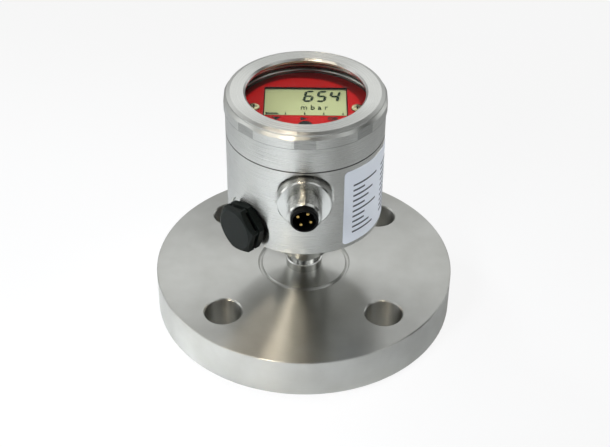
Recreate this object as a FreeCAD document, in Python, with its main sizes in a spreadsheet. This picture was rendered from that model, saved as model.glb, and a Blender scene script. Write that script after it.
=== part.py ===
import FreeCAD, Part
import os
import re
import Sketcher
from FreeCAD import Vector

# Flanged pressure transmitter with a round stainless housing and a display under a screwed window ring.
# Z points up from the centre of the sealing face, and the plug connector looks along -Y.

# Driving sizes in millimetres and degrees, each with what it measures
DIMENSIONS = (
    ("flange_diameter", 115.0, "outside of the flange"),
    ("flange_thickness", 16.0, "rim of the flange"),
    ("flange_chamfer", 0.3, "broken edge of the rim"),
    ("raised_diameter", 68.0, "sealing face"),
    ("raised_height", 2.0, "sealing face below the rim"),
    ("bolt_circle", 85.0, "circle of the bolt holes"),
    ("bolt_hole_diameter", 14.0, "bolt hole"),
    ("bolt_hole_count", 4, "bolt holes"),
    ("bolt_hole_angle", 45.0, "first bolt hole beside the X axis"),
    ("bolt_hole_chamfer", 0.4, "broken edge of a bolt hole"),
    ("groove_radius", 17.1, "middle of the ring groove"),
    ("groove_width", 1.8, "ring groove"),
    ("groove_depth", 0.9, "ring groove"),
    ("groove_shoulder", 1.2, "ring groove, width at its shoulders"),
    ("groove_shoulder_depth", 0.63, "ring groove, depth of its shoulders"),
    ("groove_floor", 0.45, "ring groove, width of its floor"),
    ("diaphragm_diameter", 34.0, "welded diaphragm"),
    ("diaphragm_sheet", 0.2, "sheet of the diaphragm"),
    ("diaphragm_seat", 0.5, "seat below the sealing face"),
    ("diaphragm_land", 2.2, "flat welded edge of the diaphragm"),
    ("wave_height", 0.5, "waves of the diaphragm"),
    ("wave_count", 4, "waves of the diaphragm"),
    ("chamber_depth", 1.2, "oil chamber behind the seat"),
    ("oil_bore", 2.5, "oil passage to the sensor"),
    ("socket_depth", 8.0, "flange socket of the stem"),
    ("socket_clearance", 0.05, "stem in its socket, on the radius"),
    ("waist_diameter", 11.0, "waist and spigot of the stem"),
    ("collar_diameter", 14.0, "weld collar on the flange"),
    ("collar_height", 3.45, "weld collar on the flange"),
    ("hub_diameter", 18.8, "hub of the stem"),
    ("hub_clearance", 8.0, "hub above the flange"),
    ("edge_break", 0.4, "broken edges of the turned parts"),
    ("neck_height", 26.6, "housing above the flange"),
    ("stem_thread", 16.0, "stem through the housing floor"),
    ("stem_nut_height", 4.0, "nut inside the housing"),
    ("stem_nut_flats", 22.0, "nut inside the housing, across its flats"),
    ("stem_seal_wire", 1.0, "ring seal between hub and housing"),
    ("sensor_diameter", 11.0, "pressure sensor"),
    ("sensor_height", 7.0, "pressure sensor"),
    ("sensor_floor", 4.0, "stem below the sensor"),
    ("sensor_pin_circle", 6.0, "circle of the sensor pins"),
    ("sensor_pin_diameter", 0.6, "sensor pin"),
    ("sensor_pin_count", 4, "sensor pins"),
    ("housing_diameter", 57.9, "outside of the housing"),
    ("housing_height", 36.3, "housing up to its shoulder"),
    ("housing_floor", 2.0, "floor of the housing"),
    ("housing_wall", 4.75, "wall of the housing"),
    ("rim_step", 1.95, "threaded rim inside the outside of the housing"),
    ("rim_wall", 1.8, "wall of the threaded rim"),
    ("seam_chamfer", 0.25, "edges of the seam below the window ring"),
    ("cover_height", 15.7, "window ring above the seam"),
    ("band_proud", 0.45, "wrench band before the outside of the housing"),
    ("band_flat_cut", 0.25, "depth of a milled flat"),
    ("band_flat_width", 12.0, "milling width of one flat"),
    ("band_flat_count", 8, "flats of the wrench band"),
    ("band_height", 3.65, "wrench band"),
    ("band_chamfer_drop", 0.95, "slope above the wrench band"),
    ("lip_step", 1.0, "lip inside the wrench band"),
    ("lip_height", 0.7, "lip above the wrench band"),
    ("face_step", 1.35, "flat top inside the lip"),
    ("face_chamfer_drop", 0.5, "slope below the flat top"),
    ("window_ledge", 4.65, "ring round the opening, over the pane"),
    ("window_chamfer", 0.7, "slope round the opening"),
    ("window_lip", 1.5, "ring above the gasket"),
    ("gasket_thickness", 0.5, "gasket of the pane"),
    ("gasket_width", 2.4, "gasket of the pane"),
    ("pane_step", 1.1, "room of the pane inside the thread"),
    ("pane_thickness", 2.6, "glass pane"),
    ("pane_clearance", 0.2, "pane in the window ring, on the radius"),
    ("snap_wire", 1.0, "wire ring that holds the pane"),
    ("snap_gap", 0.02, "play of the wire ring"),
    ("thread_land", 0.45, "ring between wire ring and thread"),
    ("thread_clearance", 0.3, "window ring round the rim, on the radius"),
    ("rim_gap", 0.4, "rim below the inside of the window ring"),
    ("cover_seal_wire", 1.0, "ring seal at the seam"),
    ("cover_seal_room", 0.3, "space round the ring seal at the seam"),
    ("plate_recess", 1.05, "display plate below the rim"),
    ("plate_clearance", 0.6, "display plate in the rim, on the radius"),
    ("plate_thickness", 0.5, "display plate"),
    ("screen_inset", 9.8, "visible screen inside the sides of the plate"),
    ("screen_margin", 15.4, "visible screen inside the front and back of the plate"),
    ("screen_centre", 4.6, "screen behind the middle of the plate"),
    ("screen_border", 1.2, "screen panel round the visible screen"),
    ("screen_reveal", 0.4, "black frame round the visible screen"),
    ("frame_recess", 0.1, "black frame below the top of the plate"),
    ("screen_thickness", 2.6, "screen panel"),
    ("board_thickness", 1.6, "circuit boards"),
    ("board_clearance", 1.0, "main board in the housing, on the radius"),
    ("carrier_height", 4.4, "ring that carries the display"),
    ("carrier_width", 9.8, "ring that carries the display"),
    ("carrier_clearance", 0.2, "display parts in the rim, on the radius"),
    ("key_pitch", 10.2, "spacing of the keys"),
    ("key_inset", 12.8, "keys inside the edge of the plate"),
    ("key_count", 3, "keys"),
    ("key_diameter", 5.0, "key head"),
    ("key_proud", 0.6, "key above the plate"),
    ("key_travel", 0.4, "stroke of a key"),
    ("key_clearance", 0.2, "key in the plate, on the radius"),
    ("key_collar_diameter", 7.0, "collar that keeps a key in"),
    ("key_collar_height", 0.8, "collar that keeps a key in"),
    ("key_play", 0.1, "collar below the plate"),
    ("switch_width", 5.0, "switch below a key"),
    ("switch_gap", 0.1, "switch below a pressed key"),
    ("screw_inset", 6.0, "plate screws inside the edge of the plate"),
    ("plate_screw_count", 2, "plate screws"),
    ("screw_head_diameter", 4.4, "plate screw head"),
    ("screw_head_height", 0.6, "plate screw head"),
    ("screw_head_round", 0.35, "rounded edge of a screw head"),
    ("recess_reach", 2.6, "cross recess from tip to tip"),
    ("recess_width", 0.6, "arm of the cross recess"),
    ("recess_depth", 0.4, "cross recess"),
    ("screw_diameter", 2.9, "plate screw"),
    ("screw_clearance", 0.15, "screws in their holes, on the radius"),
    ("screw_grip", 3.0, "plate screw in the carrying ring"),
    ("spacer_diameter", 4.4, "spacer round a plate screw"),
    ("standoff_inset", 4.0, "standoffs inside the edge of the main board"),
    ("standoff_diameter", 5.0, "standoff of the main board"),
    ("board_drop", 21.1, "underside of the main board below the shoulder of the housing"),
    ("standoff_count", 3, "standoffs of the main board"),
    ("standoff_angle", 85.0, "turn of the standoffs"),
    ("board_screw_grip", 4.0, "board screw in its standoff"),
    ("header_length", 12.0, "link between the boards"),
    ("header_width", 4.0, "link between the boards"),
    ("header_inset", 5.0, "link inside the carrying ring"),
    ("chip_width", 8.0, "chips of the main board"),
    ("chip_height", 2.0, "chips of the main board"),
    ("chip_inset", 13.0, "chips inside the edge of the main board"),
    ("chip_count", 2, "chips of the main board"),
    ("seat_cut", 1.95, "depth of the flat seats in the housing"),
    ("seat_margin", 0.8, "flat seat round the ring of the connector"),
    ("wall_overcut", 2.4, "holes of the seats past the wall"),
    ("connector_drop", 11.3, "connector below the shoulder of the housing"),
    ("connector_seal_thickness", 0.6, "seal of the connector"),
    ("connector_seal_width", 1.8, "seal of the connector"),
    ("connector_ring_diameter", 19.4, "ring of the connector"),
    ("connector_ring_thickness", 4.4, "ring of the connector"),
    ("connector_thread", 15.0, "connector in the housing wall"),
    ("wall_clearance", 0.05, "connector and plug in the wall, on the radius"),
    ("connector_back", 4.4, "connector behind its seat"),
    ("barrel_diameter", 12.0, "threaded barrel of the connector"),
    ("barrel_length", 7.6, "threaded barrel of the connector"),
    ("barrel_chamfer", 0.6, "slope at the end of the barrel"),
    ("undercut_depth", 0.4, "groove at the root of the barrel"),
    ("undercut_width", 0.6, "groove at the root of the barrel"),
    ("barrel_wall", 1.1, "wall of the barrel"),
    ("insert_clearance", 0.05, "contact carrier in the shell, on the radius"),
    ("insert_proud", 2.05, "contact carrier before the barrel"),
    ("insert_shoulder", 1.2, "collar at the back of the contact carrier"),
    ("insert_wall", 0.8, "wall round the mouth of the contact carrier"),
    ("contact_depth", 7.5, "mouth of the contact carrier"),
    ("contact_inset", 1.6, "contact pins inside the mouth"),
    ("contact_diameter", 1.0, "contact pin"),
    ("contact_recess", 1.2, "contact pin below the mouth"),
    ("contact_tail", 1.8, "contact pin behind its carrier"),
    ("contact_angle", 62.7, "turn of the contact pins"),
    ("contact_count", 4, "contact pins"),
    ("coding_rib_width", 1.1, "rib that codes the mouth of the contact carrier"),
    ("coding_rib_height", 0.6, "rib that codes the mouth of the contact carrier"),
    ("coding_rib_recess", 0.8, "rib below the mouth of the contact carrier"),
    ("lead_diameter", 0.7, "leads of the connector"),
    ("lead_gap", 0.05, "leads below the contact pins"),
    ("vent_height", 6.9, "vent plug above the housing bottom"),
    ("vent_azimuth", 47.0, "vent plug beside the connector"),
    ("vent_roll", 44.0, "turn of the vent plug"),
    ("vent_flats", 16.5, "vent plug across its flats"),
    ("vent_seal_thickness", 0.8, "seal of the vent plug"),
    ("vent_seal_width", 2.2, "seal of the vent plug"),
    ("vent_base_thickness", 2.6, "rear hexagon of the vent plug"),
    ("vent_gap", 0.6, "gap between the hexagons"),
    ("vent_cap_thickness", 3.6, "front hexagon of the vent plug"),
    ("vent_chamfer", 0.9, "slope round the front hexagon"),
    ("vent_chamfer_width", 1.9, "slope round the front hexagon"),
    ("vent_chamfer_fall", 1.35, "slope round the front hexagon"),
    ("vent_base_chamfer", 0.7, "slope of the rear hexagon"),
    ("vent_thread", 9.6, "vent plug in the housing wall"),
    ("vent_back", 5.4, "vent plug behind its seat"),
    ("vent_boss", 12.0, "boss that carries the front hexagon"),
    ("vent_boss_grip", 1.6, "boss inside the front hexagon"),
    ("vent_passage", 4.0, "air passage of the vent plug"),
    ("membrane_diameter", 7.0, "vent membrane"),
    ("membrane_thickness", 0.3, "vent membrane"),
    ("slot_width", 7.4, "air slots in the front hexagon"),
    ("slot_height", 1.1, "air slots in the front hexagon"),
    ("slot_depth", 1.5, "air slots in the front hexagon"),
    ("slot_count", 6, "air slots in the front hexagon"),
    ("label_azimuth", 28.7, "near edge of the label beside the connector"),
    ("label_sweep", 118.0, "label round the housing"),
    ("label_bottom", 2.0, "label above the housing bottom"),
    ("label_top", 2.3, "label below the shoulder of the housing"),
    ("label_thickness", 0.15, "label"),
    ("label_corner", 1.6, "rounded corner of the label"),
)

# Sizes that follow from the driving sizes
RELATIONS = {
    "housing_bore": "housing_diameter - 2 * housing_wall",
    "rim_diameter": "housing_diameter - 2 * rim_step",
    "carrier_bore": "rim_diameter - 2 * rim_wall",
    "band_diameter": "housing_diameter + 2 * band_proud",
    "band_flats": "band_diameter - 2 * band_flat_cut",
    "lip_diameter": "band_diameter - 2 * lip_step",
    "face_diameter": "lip_diameter - 2 * face_step",
    "window_diameter": "2 * pane_room - 2 * window_ledge",
    "pane_diameter": "2 * pane_room - 2 * pane_clearance",
    "plate_diameter": "carrier_bore - 2 * plate_clearance",
    "screen_width": "plate_diameter - 2 * screen_inset",
    "screen_depth": "plate_diameter - 2 * screen_margin",
    "board_diameter": "housing_bore - 2 * board_clearance",
    "carrier_opening": "2 * carrier_radius - 2 * carrier_width",
    "key_front": "plate_diameter / 2 - key_inset",
    "screw_spread": "plate_diameter - 2 * screw_inset",
    "standoff_circle": "board_diameter - 2 * standoff_inset",
    "header_back": "carrier_opening / 2 - header_inset",
    "chip_spread": "board_diameter - 2 * chip_inset",
    "seat_reach": "housing_diameter / 2 - seat_cut",
    "seat_diameter": "connector_ring_diameter + 2 * seat_margin",
    "flange_top": "raised_height + flange_thickness",
    "chamber_radius": "diaphragm_diameter / 2 - diaphragm_land",
    "chamber_top": "diaphragm_seat + chamber_depth",
    "socket_bottom": "flange_top - socket_depth",
    "collar_top": "flange_top + collar_height",
    "hub_bottom": "flange_top + hub_clearance",
    "housing_bottom": "flange_top + neck_height",
    "floor_top": "housing_bottom + housing_floor",
    "housing_top": "housing_bottom + housing_height",
    "stem_top": "floor_top + stem_nut_height + edge_break",
    "stem_seal_radius": "stem_thread / 2 + stem_seal_wire / 2",
    "sensor_seat": "hub_bottom + sensor_floor",
    "sensor_top": "sensor_seat + sensor_height",
    "cover_top": "housing_top + cover_height",
    "face_edge": "cover_top - face_chamfer_drop",
    "lip_edge": "face_edge - lip_height",
    "band_top": "lip_edge - band_chamfer_drop",
    "band_bottom": "band_top - band_height",
    "gasket_top": "cover_top - window_lip",
    "pane_top": "gasket_top - gasket_thickness",
    "pane_bottom": "pane_top - pane_thickness",
    "pane_room": "thread_room - pane_step",
    "snap_middle": "pane_bottom - snap_gap - snap_wire / 2",
    "snap_bottom": "snap_middle - snap_wire / 2 - snap_gap",
    "thread_top": "snap_bottom - thread_land",
    "thread_room": "rim_diameter / 2 + thread_clearance",
    "rim_top": "thread_top - rim_gap",
    "cover_seal_radius": "rim_diameter / 2 + cover_seal_wire / 2",
    "cover_seal_top": "housing_top + cover_seal_wire + cover_seal_room",
    "cover_seal_outside": "rim_diameter / 2 + cover_seal_wire + cover_seal_room",
    "plate_top": "rim_top - plate_recess",
    "plate_bottom": "plate_top - plate_thickness",
    "frame_top": "plate_top - frame_recess",
    "screen_bottom": "plate_bottom - screen_thickness",
    "display_board_bottom": "screen_bottom - board_thickness",
    "carrier_bottom": "display_board_bottom - carrier_height",
    "carrier_radius": "carrier_bore / 2 - carrier_clearance",
    "screw_hole": "screw_diameter + 2 * screw_clearance",
    "key_collar_top": "plate_bottom - key_play",
    "key_bottom": "key_collar_top - key_collar_height",
    "switch_top": "key_bottom - key_travel - switch_gap",
    "board_bottom": "housing_top - board_drop",
    "board_top": "board_bottom + board_thickness",
    "connector_axis": "housing_top - connector_drop",
    "ring_back": "seat_reach + connector_seal_thickness",
    "ring_front": "ring_back + connector_ring_thickness",
    "barrel_front": "ring_front + barrel_length",
    "insert_front": "barrel_front + insert_proud",
    "insert_diameter": "barrel_diameter - 2 * barrel_wall",
    "contact_opening": "insert_diameter - 2 * insert_wall",
    "contact_circle": "contact_opening - 2 * contact_inset",
    "contact_floor": "insert_front - contact_depth",
    "coding_angle": "contact_angle - 180 / contact_count",
    "coding_rib_top": "contact_opening / 2 - coding_rib_height",
    "coding_rib_root": "(contact_opening + insert_diameter) / 4",
    "connector_inside": "seat_reach - connector_back",
    "insert_back": "connector_inside - insert_shoulder",
    "contact_back": "insert_back - contact_tail",
    "vent_axis": "housing_bottom + vent_height",
    "vent_base_back": "seat_reach + vent_seal_thickness",
    "vent_base_front": "vent_base_back + vent_base_thickness",
    "vent_cap_back": "vent_base_front + vent_gap",
    "vent_cap_front": "vent_cap_back + vent_cap_thickness",
    "vent_boss_front": "vent_cap_back + vent_boss_grip",
    "vent_corner": "vent_flats / sqrt(3)",
    "vent_inside": "seat_reach - vent_back",
}

ZERO = "0"
DISTANCES = ("DistanceX", "DistanceY")
AXES = (-2, -1)
ORIGIN = (-1, 1)
QUARTER_WAVES = (False, True, True, False)
NAME = re.compile(r"[a-z][a-z_]+")
FORWARD = "rotationx(90)"
VENT_WARD = "rotationz(-vent_azimuth) * rotationx(90) * rotationz(vent_roll)"

doc = FreeCAD.newDocument("PressureTransmitter")
sheet = doc.addObject("Spreadsheet::Sheet", "Dims")
ALIASES = set()
for row, (alias, number, note) in enumerate(DIMENSIONS, start=1):
    sheet.set(f"A{row}", str(number))
    sheet.setAlias(f"A{row}", alias)
    sheet.set(f"B{row}", note)
    ALIASES.add(alias)
doc.recompute()
nodes = []


def linked(expression):
    """Write an expression so that each named size points at its cell."""

    def link(match):
        name = match.group(0)
        if name in RELATIONS:
            return f"({linked(RELATIONS[name])})"
        return f"Dims.{name}" if name in ALIASES else name

    return NAME.sub(link, expression)


def value_of(expression):
    return float(sheet.evalExpression(linked(expression)))


def pin_point(sketch, geometry, vertex, across, along):
    """Fix a point of a sketch at two expressions measured from its origin."""
    for kind, axis, expression in zip(DISTANCES, AXES, (across, along)):
        if expression == ZERO:
            sketch.addConstraint(Sketcher.Constraint("PointOnObject", geometry, vertex, axis))
            continue
        constraint = Sketcher.Constraint(kind, *ORIGIN, geometry, vertex, value_of(expression))
        index = sketch.addConstraint(constraint)
        sketch.setExpression(f"Constraints[{index}]", linked(expression))


def draw_polygon(sketch, corners):
    points = [Vector(value_of(across), value_of(along), 0) for across, along in corners]
    first = sketch.GeometryCount
    count = len(points)
    for start, end in zip(points, points[1:] + points[:1]):
        sketch.addGeometry(Part.LineSegment(start, end), False)
    for index in range(count):
        following = first + (index + 1) % count
        sketch.addConstraint(Sketcher.Constraint("Coincident", first + index, 2, following, 1))
    for index, (across, along) in enumerate(corners):
        pin_point(sketch, first + index, 1, across, along)


def draw_rectangle(sketch, across, along, width, depth):
    """Draw a rectangle round a centre."""
    left, right = f"{across} - ({width}) / 2", f"{across} + ({width}) / 2"
    near, far = f"{along} - ({depth}) / 2", f"{along} + ({depth}) / 2"
    draw_polygon(sketch, ((left, near), (right, near), (right, far), (left, far)))


def draw_circle(sketch, diameter, across=ZERO, along=ZERO):
    centre = Vector(value_of(across), value_of(along), 0)
    circle = Part.Circle(centre, Vector(0, 0, 1), value_of(diameter) / 2)
    geometry = sketch.addGeometry(circle, False)
    pin_point(sketch, geometry, 3, across, along)
    index = sketch.addConstraint(Sketcher.Constraint("Diameter", geometry, value_of(diameter)))
    sketch.setExpression(f"Constraints[{index}]", linked(diameter))


def add_body(label, height=ZERO, facing=None):
    """Start a sub-part, standing on the sealing face or facing sideways at a height."""
    body = doc.addObject("PartDesign::Body", label)
    body.Label = label
    if facing:
        body.setExpression(
            "Placement",
            f"placement(vector(0; 0; {linked(height)}); {linked(facing)})",
        )
    nodes.append(body)
    return body


def add_sketch(body, role, level=ZERO):
    sketch = body.newObject("Sketcher::SketchObject", body.Label + "_sketch")
    plane = next(item for item in body.Origin.OriginFeatures if item.Role == role)
    sketch.AttachmentSupport = (plane, [""])
    sketch.MapMode = "FlatFace"
    if level != ZERO:
        sketch.setExpression("AttachmentOffset.Base.z", linked(level))
    return sketch


def add_feature(body, kind, sketch, **sizes):
    feature = body.newObject(f"PartDesign::{kind}", f"{body.Label}_{kind.lower()}")
    feature.Profile = sketch
    sketch.Visibility = False
    for name, expression in sizes.items():
        feature.setExpression(name, linked(expression))
    body.Tip = feature
    return feature


def turn(body, corners, kind="Revolution", sweep="360"):
    """Turn a profile of (radius, height) corners about the axis of its sub-part."""
    sketch = add_sketch(body, "XZ_Plane")
    draw_polygon(sketch, corners)
    feature = add_feature(body, kind, sketch, Angle=sweep)
    feature.ReferenceAxis = (sketch, ["V_Axis"])
    return feature


def turned(label, corners, height=ZERO, facing=None):
    body = add_body(label, height, facing)
    turn(body, corners)
    return body


def ring_corners(inner, outer, low, high):
    return ((inner, low), (outer, low), (outer, high), (inner, high))


def raise_pad(body, draw, low, high):
    """Raise what is drawn from one level to another."""
    sketch = add_sketch(body, "XY_Plane", low)
    draw(sketch)
    return add_feature(body, "Pad", sketch, Length=f"{high} - ({low})")


def cut_pocket(body, draw, low, high):
    """Cut what is drawn from one level up to another."""
    sketch = add_sketch(body, "XY_Plane", low)
    draw(sketch)
    pocket = add_feature(body, "Pocket", sketch, Length=f"{high} - ({low})")
    pocket.Reversed = True
    return pocket


def repeat_round(body, features, count):
    pattern = body.newObject("PartDesign::PolarPattern", body.Label + "_pattern")
    pattern.Originals = features
    axis = next(item for item in body.Origin.OriginFeatures if item.Role == "Z_Axis")
    pattern.Axis = (axis, [""])
    pattern.Angle = 360
    pattern.setExpression("Occurrences", linked(count))
    body.Tip = pattern
    return pattern


def repeat_along(body, features, length, count):
    pattern = body.newObject("PartDesign::LinearPattern", body.Label + "_pattern")
    pattern.Originals = features
    axis = next(item for item in body.Origin.OriginFeatures if item.Role == "X_Axis")
    pattern.Direction = (axis, [""])
    pattern.setExpression("Length", linked(length))
    pattern.setExpression("Occurrences", linked(count))
    body.Tip = pattern
    return pattern


def dress(body, kind, keep, size_name, size):
    """Break or round the edges that keep picks out."""
    doc.recompute()
    base = body.Tip
    numbered = enumerate(base.Shape.Edges, start=1)
    edges = [f"Edge{number}" for number, edge in numbered if keep(edge)]
    feature = body.newObject(f"PartDesign::{kind}", f"{body.Label}_{kind.lower()}")
    feature.Base = (base, edges)
    feature.setExpression(size_name, linked(size))
    body.Tip = feature
    return feature


def ring_seal(label, radius, wire, level):
    seal = doc.addObject("Part::Torus", label)
    seal.Label = label
    seal.setExpression("Radius1", linked(radius))
    seal.setExpression("Radius2", linked(f"{wire} / 2"))
    seal.setExpression("Placement.Base.z", linked(level))
    nodes.append(seal)
    return seal


def hexagon(flats):
    """Corners of a hexagon with two flats square to the first sketch axis."""
    half, corner = f"{flats} / 2", f"{flats} / sqrt(3)"
    return (
        (half, f"-{corner} / 2"),
        (half, f"{corner} / 2"),
        (ZERO, corner),
        (f"-{half}", f"{corner} / 2"),
        (f"-{half}", f"-{corner} / 2"),
        (ZERO, f"-{corner}"),
    )


def at_circle(edge, diameter, level):
    """Tell whether an edge is a circle of a diameter at a level."""
    curve = edge.Curve
    if not isinstance(curve, Part.Circle):
        return False
    fits = abs(2 * curve.Radius - value_of(diameter)) < LENGTH_TOLERANCE
    return fits and abs(curve.Center.z - value_of(level)) < LENGTH_TOLERANCE


LENGTH_TOLERANCE = 0.001


# Flange with its bolt holes, ring groove, stem socket and diaphragm seat
flange = turned(
    "process_flange",
    (
        ("oil_bore / 2", "chamber_top"),
        ("chamber_radius", "chamber_top"),
        ("chamber_radius", "diaphragm_seat"),
        ("diaphragm_diameter / 2 + socket_clearance", "diaphragm_seat"),
        ("diaphragm_diameter / 2 + socket_clearance", ZERO),
        ("raised_diameter / 2", ZERO),
        ("raised_diameter / 2", "raised_height"),
        ("flange_diameter / 2 - flange_chamfer", "raised_height"),
        ("flange_diameter / 2", "raised_height + flange_chamfer"),
        ("flange_diameter / 2", "flange_top - flange_chamfer"),
        ("flange_diameter / 2 - flange_chamfer", "flange_top"),
        ("groove_radius + groove_width / 2", "flange_top"),
        ("groove_radius + groove_shoulder / 2", "flange_top - groove_shoulder_depth"),
        ("groove_radius + groove_floor / 2", "flange_top - groove_depth"),
        ("groove_radius - groove_floor / 2", "flange_top - groove_depth"),
        ("groove_radius - groove_shoulder / 2", "flange_top - groove_shoulder_depth"),
        ("groove_radius - groove_width / 2", "flange_top"),
        ("waist_diameter / 2 + socket_clearance", "flange_top"),
        ("waist_diameter / 2 + socket_clearance", "socket_bottom"),
        ("oil_bore / 2", "socket_bottom"),
    ),
)
bolt_hole = cut_pocket(
    flange,
    lambda sketch: draw_circle(
        sketch,
        "bolt_hole_diameter",
        "bolt_circle / 2 * cos(bolt_hole_angle)",
        "bolt_circle / 2 * sin(bolt_hole_angle)",
    ),
    "raised_height",
    "flange_top",
)
repeat_round(flange, [bolt_hole], "bolt_hole_count")
dress(
    flange,
    "Chamfer",
    lambda edge: at_circle(edge, "bolt_hole_diameter", "flange_top")
    or at_circle(edge, "bolt_hole_diameter", "raised_height"),
    "Size",
    "bolt_hole_chamfer",
)


# Diaphragm, a thin sheet pressed in rings between its flat edge and its flat middle
def wave_corners():
    """Follow the pressed rings outward along the lower face and back along the upper face."""
    quarters = QUARTER_WAVES * int(value_of("wave_count"))
    pitch = f"(chamber_radius - oil_bore) / {len(quarters) + 1}"
    steps = [(ZERO, False)]
    for quarter, raised in enumerate(quarters):
        steps.append((f"oil_bore + {pitch} * {quarter} + {pitch} / 2", raised))
    steps.append(("diaphragm_diameter / 2", False))
    lower = "diaphragm_seat - diaphragm_sheet"
    under = [(radius, f"{lower} + wave_height" if raised else lower) for radius, raised in steps]
    upper = [
        (radius, "diaphragm_seat + wave_height" if raised else "diaphragm_seat")
        for radius, raised in reversed(steps)
    ]
    return under + upper


turned("process_diaphragm", wave_corners())

# Stem between flange and housing, with the oil passage and the sensor room
turned(
    "sensor_stem",
    (
        ("oil_bore / 2", "socket_bottom"),
        ("waist_diameter / 2", "socket_bottom"),
        ("waist_diameter / 2", "flange_top"),
        ("collar_diameter / 2", "flange_top"),
        ("collar_diameter / 2", "collar_top - edge_break"),
        ("collar_diameter / 2 - edge_break", "collar_top"),
        ("waist_diameter / 2", "collar_top"),
        ("waist_diameter / 2", "hub_bottom"),
        ("hub_diameter / 2 - edge_break", "hub_bottom"),
        ("hub_diameter / 2", "hub_bottom + edge_break"),
        ("hub_diameter / 2", "housing_bottom"),
        ("stem_seal_radius + stem_seal_wire / 2 + socket_clearance", "housing_bottom"),
        ("stem_seal_radius + stem_seal_wire / 2 + socket_clearance", "housing_bottom - stem_seal_wire"),
        ("stem_thread / 2", "housing_bottom - stem_seal_wire"),
        ("stem_thread / 2", "stem_top"),
        ("sensor_diameter / 2 + socket_clearance", "stem_top"),
        ("sensor_diameter / 2 + socket_clearance", "sensor_seat"),
        ("oil_bore / 2", "sensor_seat"),
    ),
)
ring_seal("stem_seal", "stem_seal_radius", "stem_seal_wire", "housing_bottom - stem_seal_wire / 2")

nut = add_body("stem_nut")
raise_pad(
    nut,
    lambda sketch: draw_polygon(sketch, hexagon("stem_nut_flats")),
    "floor_top",
    "floor_top + stem_nut_height",
)
cut_pocket(
    nut,
    lambda sketch: draw_circle(sketch, "stem_thread + 2 * socket_clearance"),
    "floor_top",
    "floor_top + stem_nut_height",
)

turned("sensor_cell", ring_corners(ZERO, "sensor_diameter / 2", "sensor_seat", "sensor_top"))
sensor_pins = add_body("sensor_pins")
pin = raise_pad(
    sensor_pins,
    lambda sketch: draw_circle(sketch, "sensor_pin_diameter", "sensor_pin_circle / 2"),
    "sensor_top",
    "board_bottom",
)
repeat_round(sensor_pins, [pin], "sensor_pin_count")

# Housing cup with its threaded rim, its ledge for the display and its flat seats
housing = turned(
    "housing",
    (
        ("stem_thread / 2 + socket_clearance", "housing_bottom"),
        ("housing_diameter / 2 - edge_break", "housing_bottom"),
        ("housing_diameter / 2", "housing_bottom + edge_break"),
        ("housing_diameter / 2", "housing_top - seam_chamfer"),
        ("housing_diameter / 2 - seam_chamfer", "housing_top"),
        ("rim_diameter / 2", "housing_top"),
        ("rim_diameter / 2", "rim_top - edge_break"),
        ("rim_diameter / 2 - edge_break", "rim_top"),
        ("carrier_bore / 2 + edge_break", "rim_top"),
        ("carrier_bore / 2", "rim_top - edge_break"),
        ("carrier_bore / 2", "carrier_bottom"),
        ("housing_bore / 2", "carrier_bottom"),
        ("housing_bore / 2", "floor_top"),
        ("stem_thread / 2 + socket_clearance", "floor_top"),
    ),
)


def cut_seat(level, azimuth, hole):
    """Cut a flat seat and a hole through the wall at a level and an angle beside the front."""
    for diameter, outward, length in (
        ("seat_diameter", True, "housing_diameter / 2"),
        (hole, False, "seat_reach - housing_bore / 2 + wall_overcut"),
    ):
        sketch = housing.newObject("Sketcher::SketchObject", "housing_seat_sketch")
        plane = next(item for item in housing.Origin.OriginFeatures if item.Role == "XZ_Plane")
        sketch.AttachmentSupport = (plane, [""])
        sketch.MapMode = "FlatFace"
        sketch.setExpression(
            "AttachmentOffset",
            linked(
                f"placement(vector(-seat_reach * sin({azimuth}); 0; seat_reach * cos({azimuth}));"
                f" rotationy(-({azimuth})))"
            ),
        )
        draw_circle(sketch, diameter, ZERO, level)
        pocket = add_feature(housing, "Pocket", sketch, Length=length)
        pocket.Reversed = outward


cut_seat("connector_axis", ZERO, "connector_thread + 2 * wall_clearance")
cut_seat("vent_axis", "vent_azimuth", "vent_thread + 2 * wall_clearance")

# Window ring with its milled wrench band, and what it holds
cover = turned(
    "cover_ring",
    (
        ("window_diameter / 2", "gasket_top"),
        ("pane_room", "gasket_top"),
        ("pane_room", "pane_bottom"),
        ("pane_room + snap_wire / 2 + snap_gap", "pane_bottom"),
        ("pane_room + snap_wire / 2 + snap_gap", "snap_bottom"),
        ("pane_room", "snap_bottom"),
        ("pane_room", "thread_top"),
        ("thread_room", "thread_top"),
        ("thread_room", "cover_seal_top"),
        ("cover_seal_outside", "cover_seal_top"),
        ("cover_seal_outside", "housing_top"),
        ("housing_diameter / 2 - seam_chamfer", "housing_top"),
        ("housing_diameter / 2", "housing_top + seam_chamfer"),
        ("housing_diameter / 2", "band_bottom"),
        ("band_diameter / 2", "band_bottom"),
        ("band_diameter / 2", "band_top"),
        ("lip_diameter / 2", "lip_edge"),
        ("lip_diameter / 2", "face_edge"),
        ("face_diameter / 2", "cover_top"),
        ("window_diameter / 2 + window_chamfer", "cover_top"),
        ("window_diameter / 2", "cover_top - window_chamfer"),
    ),
)
flat = cut_pocket(
    cover,
    lambda sketch: draw_polygon(
        sketch,
        (
            ("-band_flat_width / 2", "-band_diameter / 2 - band_height"),
            ("band_flat_width / 2", "-band_diameter / 2 - band_height"),
            ("band_flat_width / 2", "-band_flats / 2"),
            ("-band_flat_width / 2", "-band_flats / 2"),
        ),
    ),
    "band_bottom",
    "cover_top",
)
repeat_round(cover, [flat], "band_flat_count")

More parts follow.
